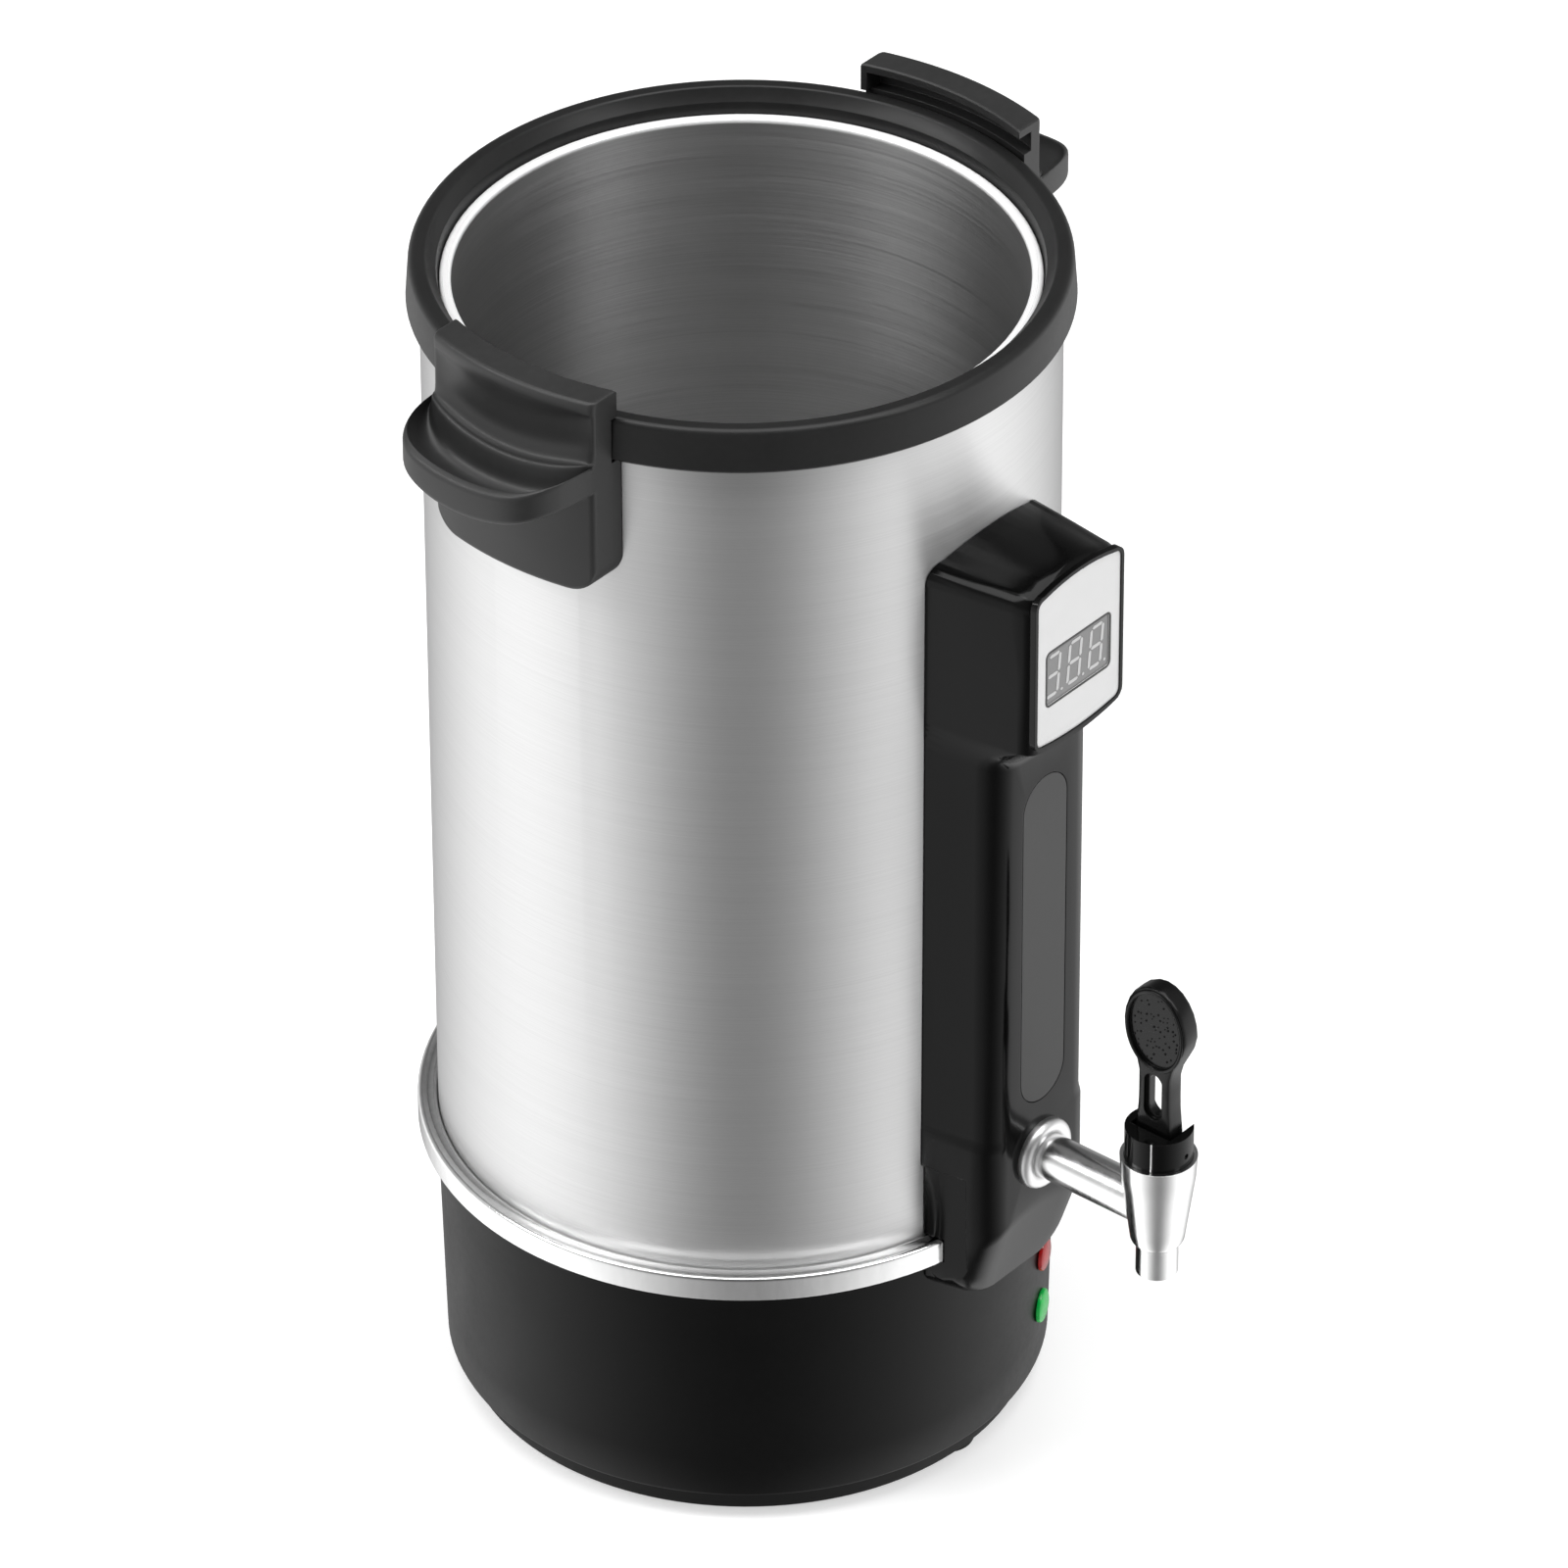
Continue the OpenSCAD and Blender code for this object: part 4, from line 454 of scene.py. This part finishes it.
def corner_box(half_w, low, high, corner, steps=5):
    """A rectangle with round corners, as (x, z) points."""
    x = half_w - corner
    low += corner
    high -= corner
    points = []
    for centre, start in (((x, high), 0), ((-x, high), 90), ((-x, low), 180), ((x, low), 270)):
        points += arc(centre, corner, start, 90, steps)
    return points


# ---------------------------------------------------------------- handles

# The solids' own form, with a rounder ridge, trough and edges.
HANDLE_HALF = 33.7
HANDLE_OUT = 118.2
HANDLE_IN = 105.3
HANDLE_LOW = 380.0
HANDLE_TOP = 453.0
HANDLE_CORNER = 10.0
HANDLE_EDGE = 1.8
HANDLE_CREASE = 35
END_ROUND = 1.5
TOP_ROUND_SHARE = 0.3     # how much of the end's rounding the top takes
SEAT_GAP = 0.3
HOOK_Z = 450.0
HOOK_IN = 107.0
HOOK_WALL = 4.2
HOOK_EDGE = 0.5
RIM_TOP = 442.7
RIM_LOW = 426.7
NOTCH_R = 109.6
SLOT_END = 0.94           # where the lid's slot closes, as a share of the half width
SLOT_STEP = 0.002
LIP_REACH = 24.0
LIP_TOP = 425.0
LIP_RISE = 5.0
LIP_T = 13.0
LIP_T_LOSS = 3.0
LIP_EDGE = 2.6
LIP_FILLET = 4.0
LIP_END = 0.06
LIP_POWER = 6
FILLET_TURNS = (22.5, 45, 67.5)
TROUGH = 8.5
TROUGH_LINE = ((0.24, 0.4), (0.5, 0.9), (0.74, 1.0), (0.9, 0.8))   # (way to ridge, depth)
TROUGH_END = 0.3
RIDGE_REACH = 4.8
RIDGE_Z = 425.7
RIDGE_RISE = 1.2
RIDGE_BULGE = 0.1
RIDGE_CREST = 1.2
SCOOP = 1.8
SCOOP_POWER = 8
SCOOP_FOOT = (0.5, 0.8)                                            # (out, up)
SCOOP_START = (0.35, 3.0)                                          # (depth, up)
SCOOP_LINE = ((0.9, 7.0), (1.0, 11.5), (0.8, 17.0))
SCOOP_END = (0.1, 4.2)
STATIONS = 48
CURVE_STEPS = 4
QUARTER_STEPS = 4


def blend(a, b, share):
    return a + (b - a) * share


def round_off(span, radius, s):
    """How far a corner of a radius draws back at a share s of a half width."""
    past = max(0.0, abs(s) * span - (span - radius))
    return radius - math.sqrt(max(0.0, radius ** 2 - past ** 2))


def curve_through(points):
    """A smooth curve through the points, with more points between them."""
    line = []
    last = len(points) - 1
    for i in range(last):
        p0, p1 = Vector(points[max(i - 1, 0)]), Vector(points[i])
        p2, p3 = Vector(points[i + 1]), Vector(points[min(i + 2, last)])
        for k in range(CURVE_STEPS):
            t = k / CURVE_STEPS
            line.append(0.5 * (2 * p1 + (p2 - p0) * t + (2 * p0 - 5 * p1 + 4 * p2 - p3) * t ** 2
                               + (3 * p1 - p0 - 3 * p2 + p3) * t ** 3))
    line.append(Vector(points[last]))
    return [tuple(p) for p in line]


def shelf_line(s, full, out, tip, lip_top, top):
    """The finger lip's upper face, its trough and ridge, and the scooped wall above."""
    ridge = out + RIDGE_REACH * full
    ridge_z = RIDGE_Z + LIP_RISE * s * s
    rise = RIDGE_RISE * full
    dip = TROUGH * full
    scoop = SCOOP * (1 - abs(s) ** SCOOP_POWER)
    line = [(tip - LIP_EDGE * full, lip_top)]
    line += [(blend(tip, ridge, way), lip_top - depth * dip) for way, depth in TROUGH_LINE]
    line += [(ridge + RIDGE_BULGE * full, blend(ridge_z, lip_top - dip, TROUGH_END)),
             (ridge - RIDGE_CREST * full, ridge_z + 0.6 * rise),
             (blend(ridge, out, 0.6), ridge_z + rise),
             (out + SCOOP_FOOT[0] * full, ridge_z + rise + SCOOP_FOOT[1]),
             (out - SCOOP_START[0] * scoop, ridge_z + rise + SCOOP_START[1])]
    line += [(out - depth * scoop, ridge_z + up) for depth, up in SCOOP_LINE]
    line += [(out - SCOOP_END[0] * scoop, top - SCOOP_END[1]), (out, top - HANDLE_EDGE)]
    return curve_through(line)


def handle_section(s, closed):
    """One section of a handle as (distance from the axis, height) at a share s of its width."""
    drawn = round_off(HANDLE_HALF, END_ROUND, s)
    full = max(LIP_END, math.sqrt(max(0.0, 1 - abs(s) ** LIP_POWER)))
    low = HANDLE_LOW + round_off(HANDLE_HALF, HANDLE_CORNER, s)
    out = HANDLE_OUT - drawn
    top = HANDLE_TOP - TOP_ROUND_SHARE * drawn
    tip = out + LIP_REACH * full
    lip_top = LIP_TOP + LIP_RISE * s * s
    lip_low = lip_top - LIP_T + LIP_T_LOSS * s * s
    edge = LIP_EDGE * full
    fillet = LIP_FILLET * full
    round_r = HANDLE_EDGE
    roof = RIM_TOP + SEAT_GAP if closed else HOOK_Z
    wall = NOTCH_R + 2 * SEAT_GAP if closed else out - HOOK_WALL
    fillet_line = [(out + fillet * (1 - math.cos(t)), lip_low - fillet * (1 - math.sin(t)))
                   for t in (math.radians(a) for a in FILLET_TURNS)]
    return (
        [(HANDLE_IN, low), (out - round_r, low)]
        + arc((out - round_r, low + round_r), round_r, -90, 90, QUARTER_STEPS)[1:]
        + [(out, lip_low - fillet)]
        + fillet_line
        + arc((tip - edge, lip_low + edge), edge, -90, 90, QUARTER_STEPS)
        + arc((tip - edge, lip_top - edge), edge, 0, 90, QUARTER_STEPS)[:-1]
        + shelf_line(s, full, out, tip, lip_top, top)
        + arc((out - round_r, top - round_r), round_r, 0, 90, QUARTER_STEPS)[1:]
        + [(HOOK_IN + HOOK_EDGE, top), (HOOK_IN, top - HOOK_EDGE), (HOOK_IN, roof),
           (wall, roof), (wall - (SEAT_GAP if closed else 0.0), RIM_TOP), (NOTCH_R, RIM_TOP),
           (NOTCH_R, RIM_LOW), (HANDLE_IN, RIM_LOW)])


def handle_shape(turn):
    """A routine that builds the handle on the side where turn is 1 or -1."""
    def build(shape):
        shares = [math.sin(math.pi * (i / STATIONS - 0.5)) for i in range(STATIONS + 1)]
        stops = [(s, s > SLOT_END) for s in shares]
        stops += [(SLOT_END, False), (SLOT_END + SLOT_STEP, True)]
        rows = []
        for s, closed in sorted(stops):
            y = s * HANDLE_HALF
            points = [Vector((turn * math.sqrt(r * r - y * y), turn * y, z)) * MM
                      for r, z in handle_section(s, closed)]
            rows.append([shape.verts.new(p) for p in points])
        for a, b in zip(rows, rows[1:]):
            walls(shape, a, b)
        shape.faces.new(rows[0])
        shape.faces.new(list(reversed(rows[-1])))
    return build


for name, turn in (("handle_left", -1), ("handle_right", 1)):
    made = piece(name + "_moulding", handle_shape(turn), MATERIALS["handle_plastic"], "urn")
    smooth(made, HANDLE_CREASE, even=True)
    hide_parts(name)

# ---------------------------------------------------------------- display

# The unlit digits: thin slanted strokes on the smoked window.
lens_low, lens_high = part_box("display_lens")
label_low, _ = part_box("display_label")
LENS_FACE = -lens_low.y / MM
LABEL_FACE = -label_low.y / MM
LENS_FLANGE = 1.6
WINDOW_HALF = lens_high.x / MM - LENS_FLANGE
WINDOW_LOW = lens_low.z / MM + LENS_FLANGE
WINDOW_HIGH = lens_high.z / MM - LENS_FLANGE
WINDOW_BORDER = 0.8
WINDOW_CORNER = 1.5
BORDER_SUNK = 0.05
BORDER_PROUD = 0.1
DIGIT_W = 7.1
DIGIT_H = 16.3
DIGIT_LOW = 335.7
DIGIT_MIDDLES = (-12.6, -1.6, 9.4)
DIGIT_SLANT = 0.1
STROKE = 1.25
STROKE_GAP = 0.35
STROKE_H = 0.12
POINT_R = 0.55
POINT_AWAY = 1.0
POINT_SIDES = 12


def stroke(start, end):
    """A bar with pointed ends from start to end."""
    a, b = Vector(start), Vector(end)
    tip = (b - a).normalized() * STROKE / 2
    side = Vector((-tip.y, tip.x))
    return [a, a + tip + side, b - tip + side, b, b - tip - side, a + tip - side]


def strokes_of(middle):
    """The strokes of a digit, without what the window's left edge hides."""
    half = DIGIT_W / 2 - STROKE / 2
    low, high = DIGIT_LOW + STROKE / 2, DIGIT_LOW + DIGIT_H - STROKE / 2
    centre = (low + high) / 2
    gap = STROKE_GAP
    bars = [((-half + gap, z), (half - gap, z), False) for z in (low, centre, high)]
    for x in (-half, half):
        bars.append(((x, low + gap), (x, centre - gap), True))
        bars.append(((x, centre + gap), (x, high - gap), True))
    edge = STROKE_GAP - WINDOW_HALF
    lines = []
    for start, end, upright in bars:
        leaned = [(middle + p.x + (p.y - centre) * DIGIT_SLANT, p.y) for p in stroke(start, end)]
        if min(p[0] for p in leaned) >= edge + (2 * STROKE if upright else 0.0):
            lines.append(leaned)
        elif not upright and max(p[0] for p in leaned) > edge + STROKE:
            lines.append([(max(p[0], edge), p[1]) for p in leaned])
    return lines


def digit_lines(shape):
    for middle in DIGIT_MIDDLES:
        spot = (middle + DIGIT_W / 2 + POINT_AWAY, DIGIT_LOW + POINT_R)
        point = arc(spot, POINT_R, 0, 360, POINT_SIDES)[:-1]
        for outline in strokes_of(middle) + [point]:
            prism(shape, outline, on_front(LENS_FACE), on_front(LENS_FACE + STROKE_H))


def window_frame(shape):
    inner = corner_box(WINDOW_HALF, WINDOW_LOW, WINDOW_HIGH, WINDOW_CORNER)
    outer = corner_box(WINDOW_HALF + WINDOW_BORDER, WINDOW_LOW - WINDOW_BORDER,
                       WINDOW_HIGH + WINDOW_BORDER, WINDOW_CORNER + WINDOW_BORDER)
    band(shape, inner, outer, on_front(LABEL_FACE - BORDER_SUNK),
         on_front(LABEL_FACE + BORDER_PROUD))


piece("display_digits", digit_lines, SEGMENT_GREY, "urn")
piece("display_window_frame", window_frame, WINDOW_BLACK, "urn")

# ---------------------------------------------------------------- lever

# The thumb disc: a raised rim and small bumps in the dish.
LEVER_X = -3.7
PADDLE_Y = -178.0
PADDLE_Z = 214.0
DISH_Y = 10.6
DISH_Z = 14.6
DISH_FLOOR = 0.9
RIM_W = 1.5
RIM_H = 0.55
RIM_STEPS = 96
RIM_SIDES = 8
BUMPS = 64
BUMP_SEED = 7
BUMP_R = 0.42
BUMP_SHARES = (0.6, 1.1)
BUMP_REACH = 0.9
BUMP_ROOM = 1.3           # least distance between two bumps, squared


def dish_point(turn, grow):
    return (PADDLE_Y + (DISH_Y + grow) * math.cos(turn),
            PADDLE_Z + (DISH_Z + grow) * math.sin(turn))


def thumb_rim(shape):
    rows = []
    for i in range(RIM_STEPS):
        turn = 2 * math.pi * i / RIM_STEPS
        row = []
        for k in range(RIM_SIDES + 1):
            bend = math.pi * k / RIM_SIDES
            y, z = dish_point(turn, RIM_W / 2 * (1 - math.cos(bend)))
            row.append(shape.verts.new(Vector((LEVER_X - RIM_H * math.sin(bend), y, z)) * MM))
        rows.append(row)
    for i, row in enumerate(rows):
        walls(shape, row, rows[(i + 1) % RIM_STEPS])


def dish_bumps(shape):
    pick = random.Random(BUMP_SEED)
    placed = []
    while len(placed) < BUMPS:
        turn = pick.uniform(0, 2 * math.pi)
        reach = math.sqrt(pick.random()) * BUMP_REACH
        y = PADDLE_Y + DISH_Y * reach * math.cos(turn)
        z = PADDLE_Z + DISH_Z * reach * math.sin(turn)
        if all((y - p[0]) ** 2 + (z - p[1]) ** 2 > BUMP_ROOM for p in placed):
            placed.append((y, z))
            size = BUMP_R * pick.uniform(*BUMP_SHARES)
            spot = Matrix.Translation(Vector((LEVER_X + DISH_FLOOR, y, z)) * MM)
            bmesh.ops.create_icosphere(shape, subdivisions=2, radius=size * MM, matrix=spot)


for name, build in (("lever_thumb_rim", thumb_rim), ("lever_dish_bumps", dish_bumps)):
    smooth(piece(name, build, MATERIALS["lever_plastic"], "lever"))

# ---------------------------------------------------------------- bonnet

# The bright strip in the bonnet's slit.
BONNET_R = 11.5
SLIT_TURN = math.radians(-65)
STRIP_LOW = 162.5
STRIP_HIGH = 173.8
STRIP_W = 0.8
STRIP_IN = 0.35
STRIP_CROWN = 0.3
STRIP_BACK = 1.1
STRIP_STEPS = 8


def slit_strip(shape):
    out = Vector((math.sin(SLIT_TURN), -math.cos(SLIT_TURN), 0))
    side = Vector((-out.y, out.x, 0)) * STRIP_W / 2
    middle = Vector((0, PADDLE_Y, 0))
    back = middle + out * (BONNET_R - STRIP_BACK)
    outline = []
    for i in range(STRIP_STEPS + 1):
        turn = math.pi * i / STRIP_STEPS
        reach = BONNET_R - STRIP_IN + STRIP_CROWN * math.sin(turn)
        outline.append(middle + out * reach + side * math.cos(turn))
    outline += [back - side, back + side]
    prism(shape, outline, lambda p: (p + Vector((0, 0, STRIP_LOW))) * MM,
          lambda p: (p + Vector((0, 0, STRIP_HIGH))) * MM)


piece("bonnet_strip", slit_strip, MATERIALS["bright_steel"], "urn")

# ---------------------------------------------------------------- dial

# The dial's printed ticks follow the knob's turn from its rest, and the knob has a pointer.
KNOB_Z = 50.0
KNOB_FACE = 124.9
DIAL_FACE = 108.3
PRINT_H = 0.06
TICKS = 28
TICK_TURN = -270
TICK_IN = 18.8
TICK_OUT = 20.8
LONG_EVERY = 3
LONG_HALF = 0.22
SHORT_HALF = 0.12
SHORT_LOSS = 0.8
POINTER_HALF = 0.6
POINTER_FROM = 9.0
POINTER_TO = 16.2


def dial_ticks(shape):
    for i in range(TICKS):
        long = i % LONG_EVERY == 0
        turn = math.radians(TICK_TURN * i / (TICKS - 1))
        out = Vector((math.sin(turn), math.cos(turn)))
        side = Vector((out.y, -out.x)) * (LONG_HALF if long else SHORT_HALF)
        start = out * (TICK_IN + (0.0 if long else SHORT_LOSS))
        end = out * TICK_OUT
        corners = (start + side, end + side, end - side, start - side)
        outline = [(c.x, KNOB_Z + c.y) for c in corners]
        prism(shape, outline, on_side(DIAL_FACE), on_side(DIAL_FACE + PRINT_H))


def knob_pointer(shape):
    low, high = KNOB_Z + POINTER_FROM, KNOB_Z + POINTER_TO
    outline = [(-POINTER_HALF, low), (POINTER_HALF, low), (POINTER_HALF, high),
               (-POINTER_HALF, high)]
    prism(shape, outline, on_side(KNOB_FACE), on_side(KNOB_FACE + PRINT_H))


piece("dial_ticks", dial_ticks, PRINT_WHITE, "urn")
piece("knob_pointer", knob_pointer, PRINT_WHITE, "knob")

# ---------------------------------------------------------------- floor, light, camera

FLOOR_HALF = 6.0
FLOOR_SQUARES = 24
FLOOR_GLOW = 0.55


def floor_material():
    g = Look("floor_look")
    tone = g.noise(3.0, 4.0)
    tooth = g.noise(600.0)
    return g.finish(
        Base_Color=g.mix(g.spread(tone, 0.0, 1.0), 0.6, 0.62),
        Roughness=0.7,
        Specular_IOR_Level=0.2,
        Emission_Color=rgba(1.0),
        Emission_Strength=FLOOR_GLOW,
        Normal=g.bump(tooth, 0.05, 0.05),
    )


def make_floor():
    """A pale floor that the steel doesn't mirror, so that its sides show the room."""
    mesh = bpy.data.meshes.new("studio_floor")
    shape = bmesh.new()
    bmesh.ops.create_grid(shape, x_segments=FLOOR_SQUARES, y_segments=FLOOR_SQUARES,
                          size=FLOOR_HALF)
    shape.to_mesh(mesh)
    shape.free()
    floor = bpy.data.objects.new("studio_floor", mesh)
    floor.data.materials.append(floor_material())
    bpy.context.scene.collection.objects.link(floor)
    floor.visible_glossy = False


CAMERA_AZIMUTH = math.radians(-50)
ROOM_DARK = 0.3
ROOM_BRIGHT = 1.75
ROOM_ABOVE = 0.4
ROOM_FADE = 0.3
ROOM_POLE = 0.02


def make_room():
    """A soft studio round the object: dim in front and behind, bright at both sides,
    and dimmer above the lamps' height."""
    world = bpy.data.worlds.new("studio")
    world.use_nodes = True
    g = Graph(world.node_tree)
    way = g.parts(g.node("ShaderNodeTexCoord", out="Generated"))
    across = g.math("ABSOLUTE", g.math("ADD",
                                       g.math("MULTIPLY", way["X"], math.cos(CAMERA_AZIMUTH)),
                                       g.math("MULTIPLY", way["Y"], math.sin(CAMERA_AZIMUTH))))
    level = g.math("SUBTRACT", 1.0, g.math("POWER", way["Z"], 2.0))
    level = g.math("SQRT", g.math("MAXIMUM", level, ROOM_POLE))
    side = g.math("POWER", g.math("DIVIDE", across, level), 2.0)
    glow = g.math("ADD", ROOM_DARK, g.math("MULTIPLY", side, ROOM_BRIGHT - ROOM_DARK))
    fade = g.spread(way["Z"], 1.0, ROOM_ABOVE, 0.0, ROOM_FADE)
    shown = world.node_tree.nodes["Background"]
    g.put(shown.inputs["Color"], rgba(1.0))
    g.put(shown.inputs["Strength"], g.math("MULTIPLY", glow, fade))
    bpy.context.scene.world = world


TARGET = Vector((0, 0, 0.22))
# Name, bearing, lift, distance, width, height, glow.
SOFTBOXES = (
    ("light_top", 0, 88, 2.2, 1.8, 1.8, 4.0),
    ("light_high_left", -62, 52, 1.5, 0.35, 1.1, 5.0),
    ("light_high_right", 62, 52, 1.5, 0.35, 1.1, 5.0),
    ("light_edge", -83, 39, 1.4, 0.5, 0.1, 22.0),
)


def softbox(name, bearing, lift, distance, width, height, glow):
    """An area light round the object: bearing in degrees from the camera's side,
    positive to the camera's right, lift above the horizon, glow as its radiance."""
    turn = CAMERA_AZIMUTH + math.radians(bearing)
    rise = math.radians(lift)
    away = Vector((math.sin(turn) * math.cos(rise), -math.cos(turn) * math.cos(rise),
                   math.sin(rise)))
    data = bpy.data.lights.new(name, "AREA")
    data.shape = "RECTANGLE"
    data.size = width
    data.size_y = height
    data.energy = glow * math.pi * width * height
    light = bpy.data.objects.new(name, data)
    light.location = TARGET + away * distance
    light.rotation_mode = "QUATERNION"
    light.rotation_quaternion = (-away).to_track_quat("-Z", "Y")
    bpy.context.scene.collection.objects.link(light)


CAMERA_AT = Vector((-2.4685, -2.0885, 2.4713))
CAMERA_RIGHT = Vector((0.6428, -0.7660, 0.0))
CAMERA_FORWARD = Vector((0.6298, 0.5284, -0.5693)).normalized()
CAMERA_ROLL = math.radians(-0.228)
CAMERA_LENS = 269.87
CAMERA_SENSOR = 36.0
CAMERA_NEAR = 0.1
CAMERA_FAR = 100.0


def make_camera():
    """The photograph's camera."""
    data = bpy.data.cameras.new("camera")
    data.sensor_width = CAMERA_SENSOR
    data.sensor_fit = "HORIZONTAL"
    data.lens = CAMERA_LENS
    data.clip_start = CAMERA_NEAR
    data.clip_end = CAMERA_FAR
    up = CAMERA_RIGHT.cross(CAMERA_FORWARD).normalized()
    c, s = math.cos(CAMERA_ROLL), math.sin(CAMERA_ROLL)
    right, up = CAMERA_RIGHT * c + up * s, up * c - CAMERA_RIGHT * s
    turned = Matrix((right, up, -CAMERA_FORWARD)).transposed()
    camera = bpy.data.objects.new("camera", data)
    camera.matrix_world = Matrix.Translation(CAMERA_AT) @ turned.to_4x4()
    bpy.context.scene.collection.objects.link(camera)
    bpy.context.scene.camera = camera


make_floor()
make_room()
for row in SOFTBOXES:
    softbox(*row)
make_camera()
bpy.context.scene.view_settings.view_transform = "Standard"
bpy.context.view_layer.update()
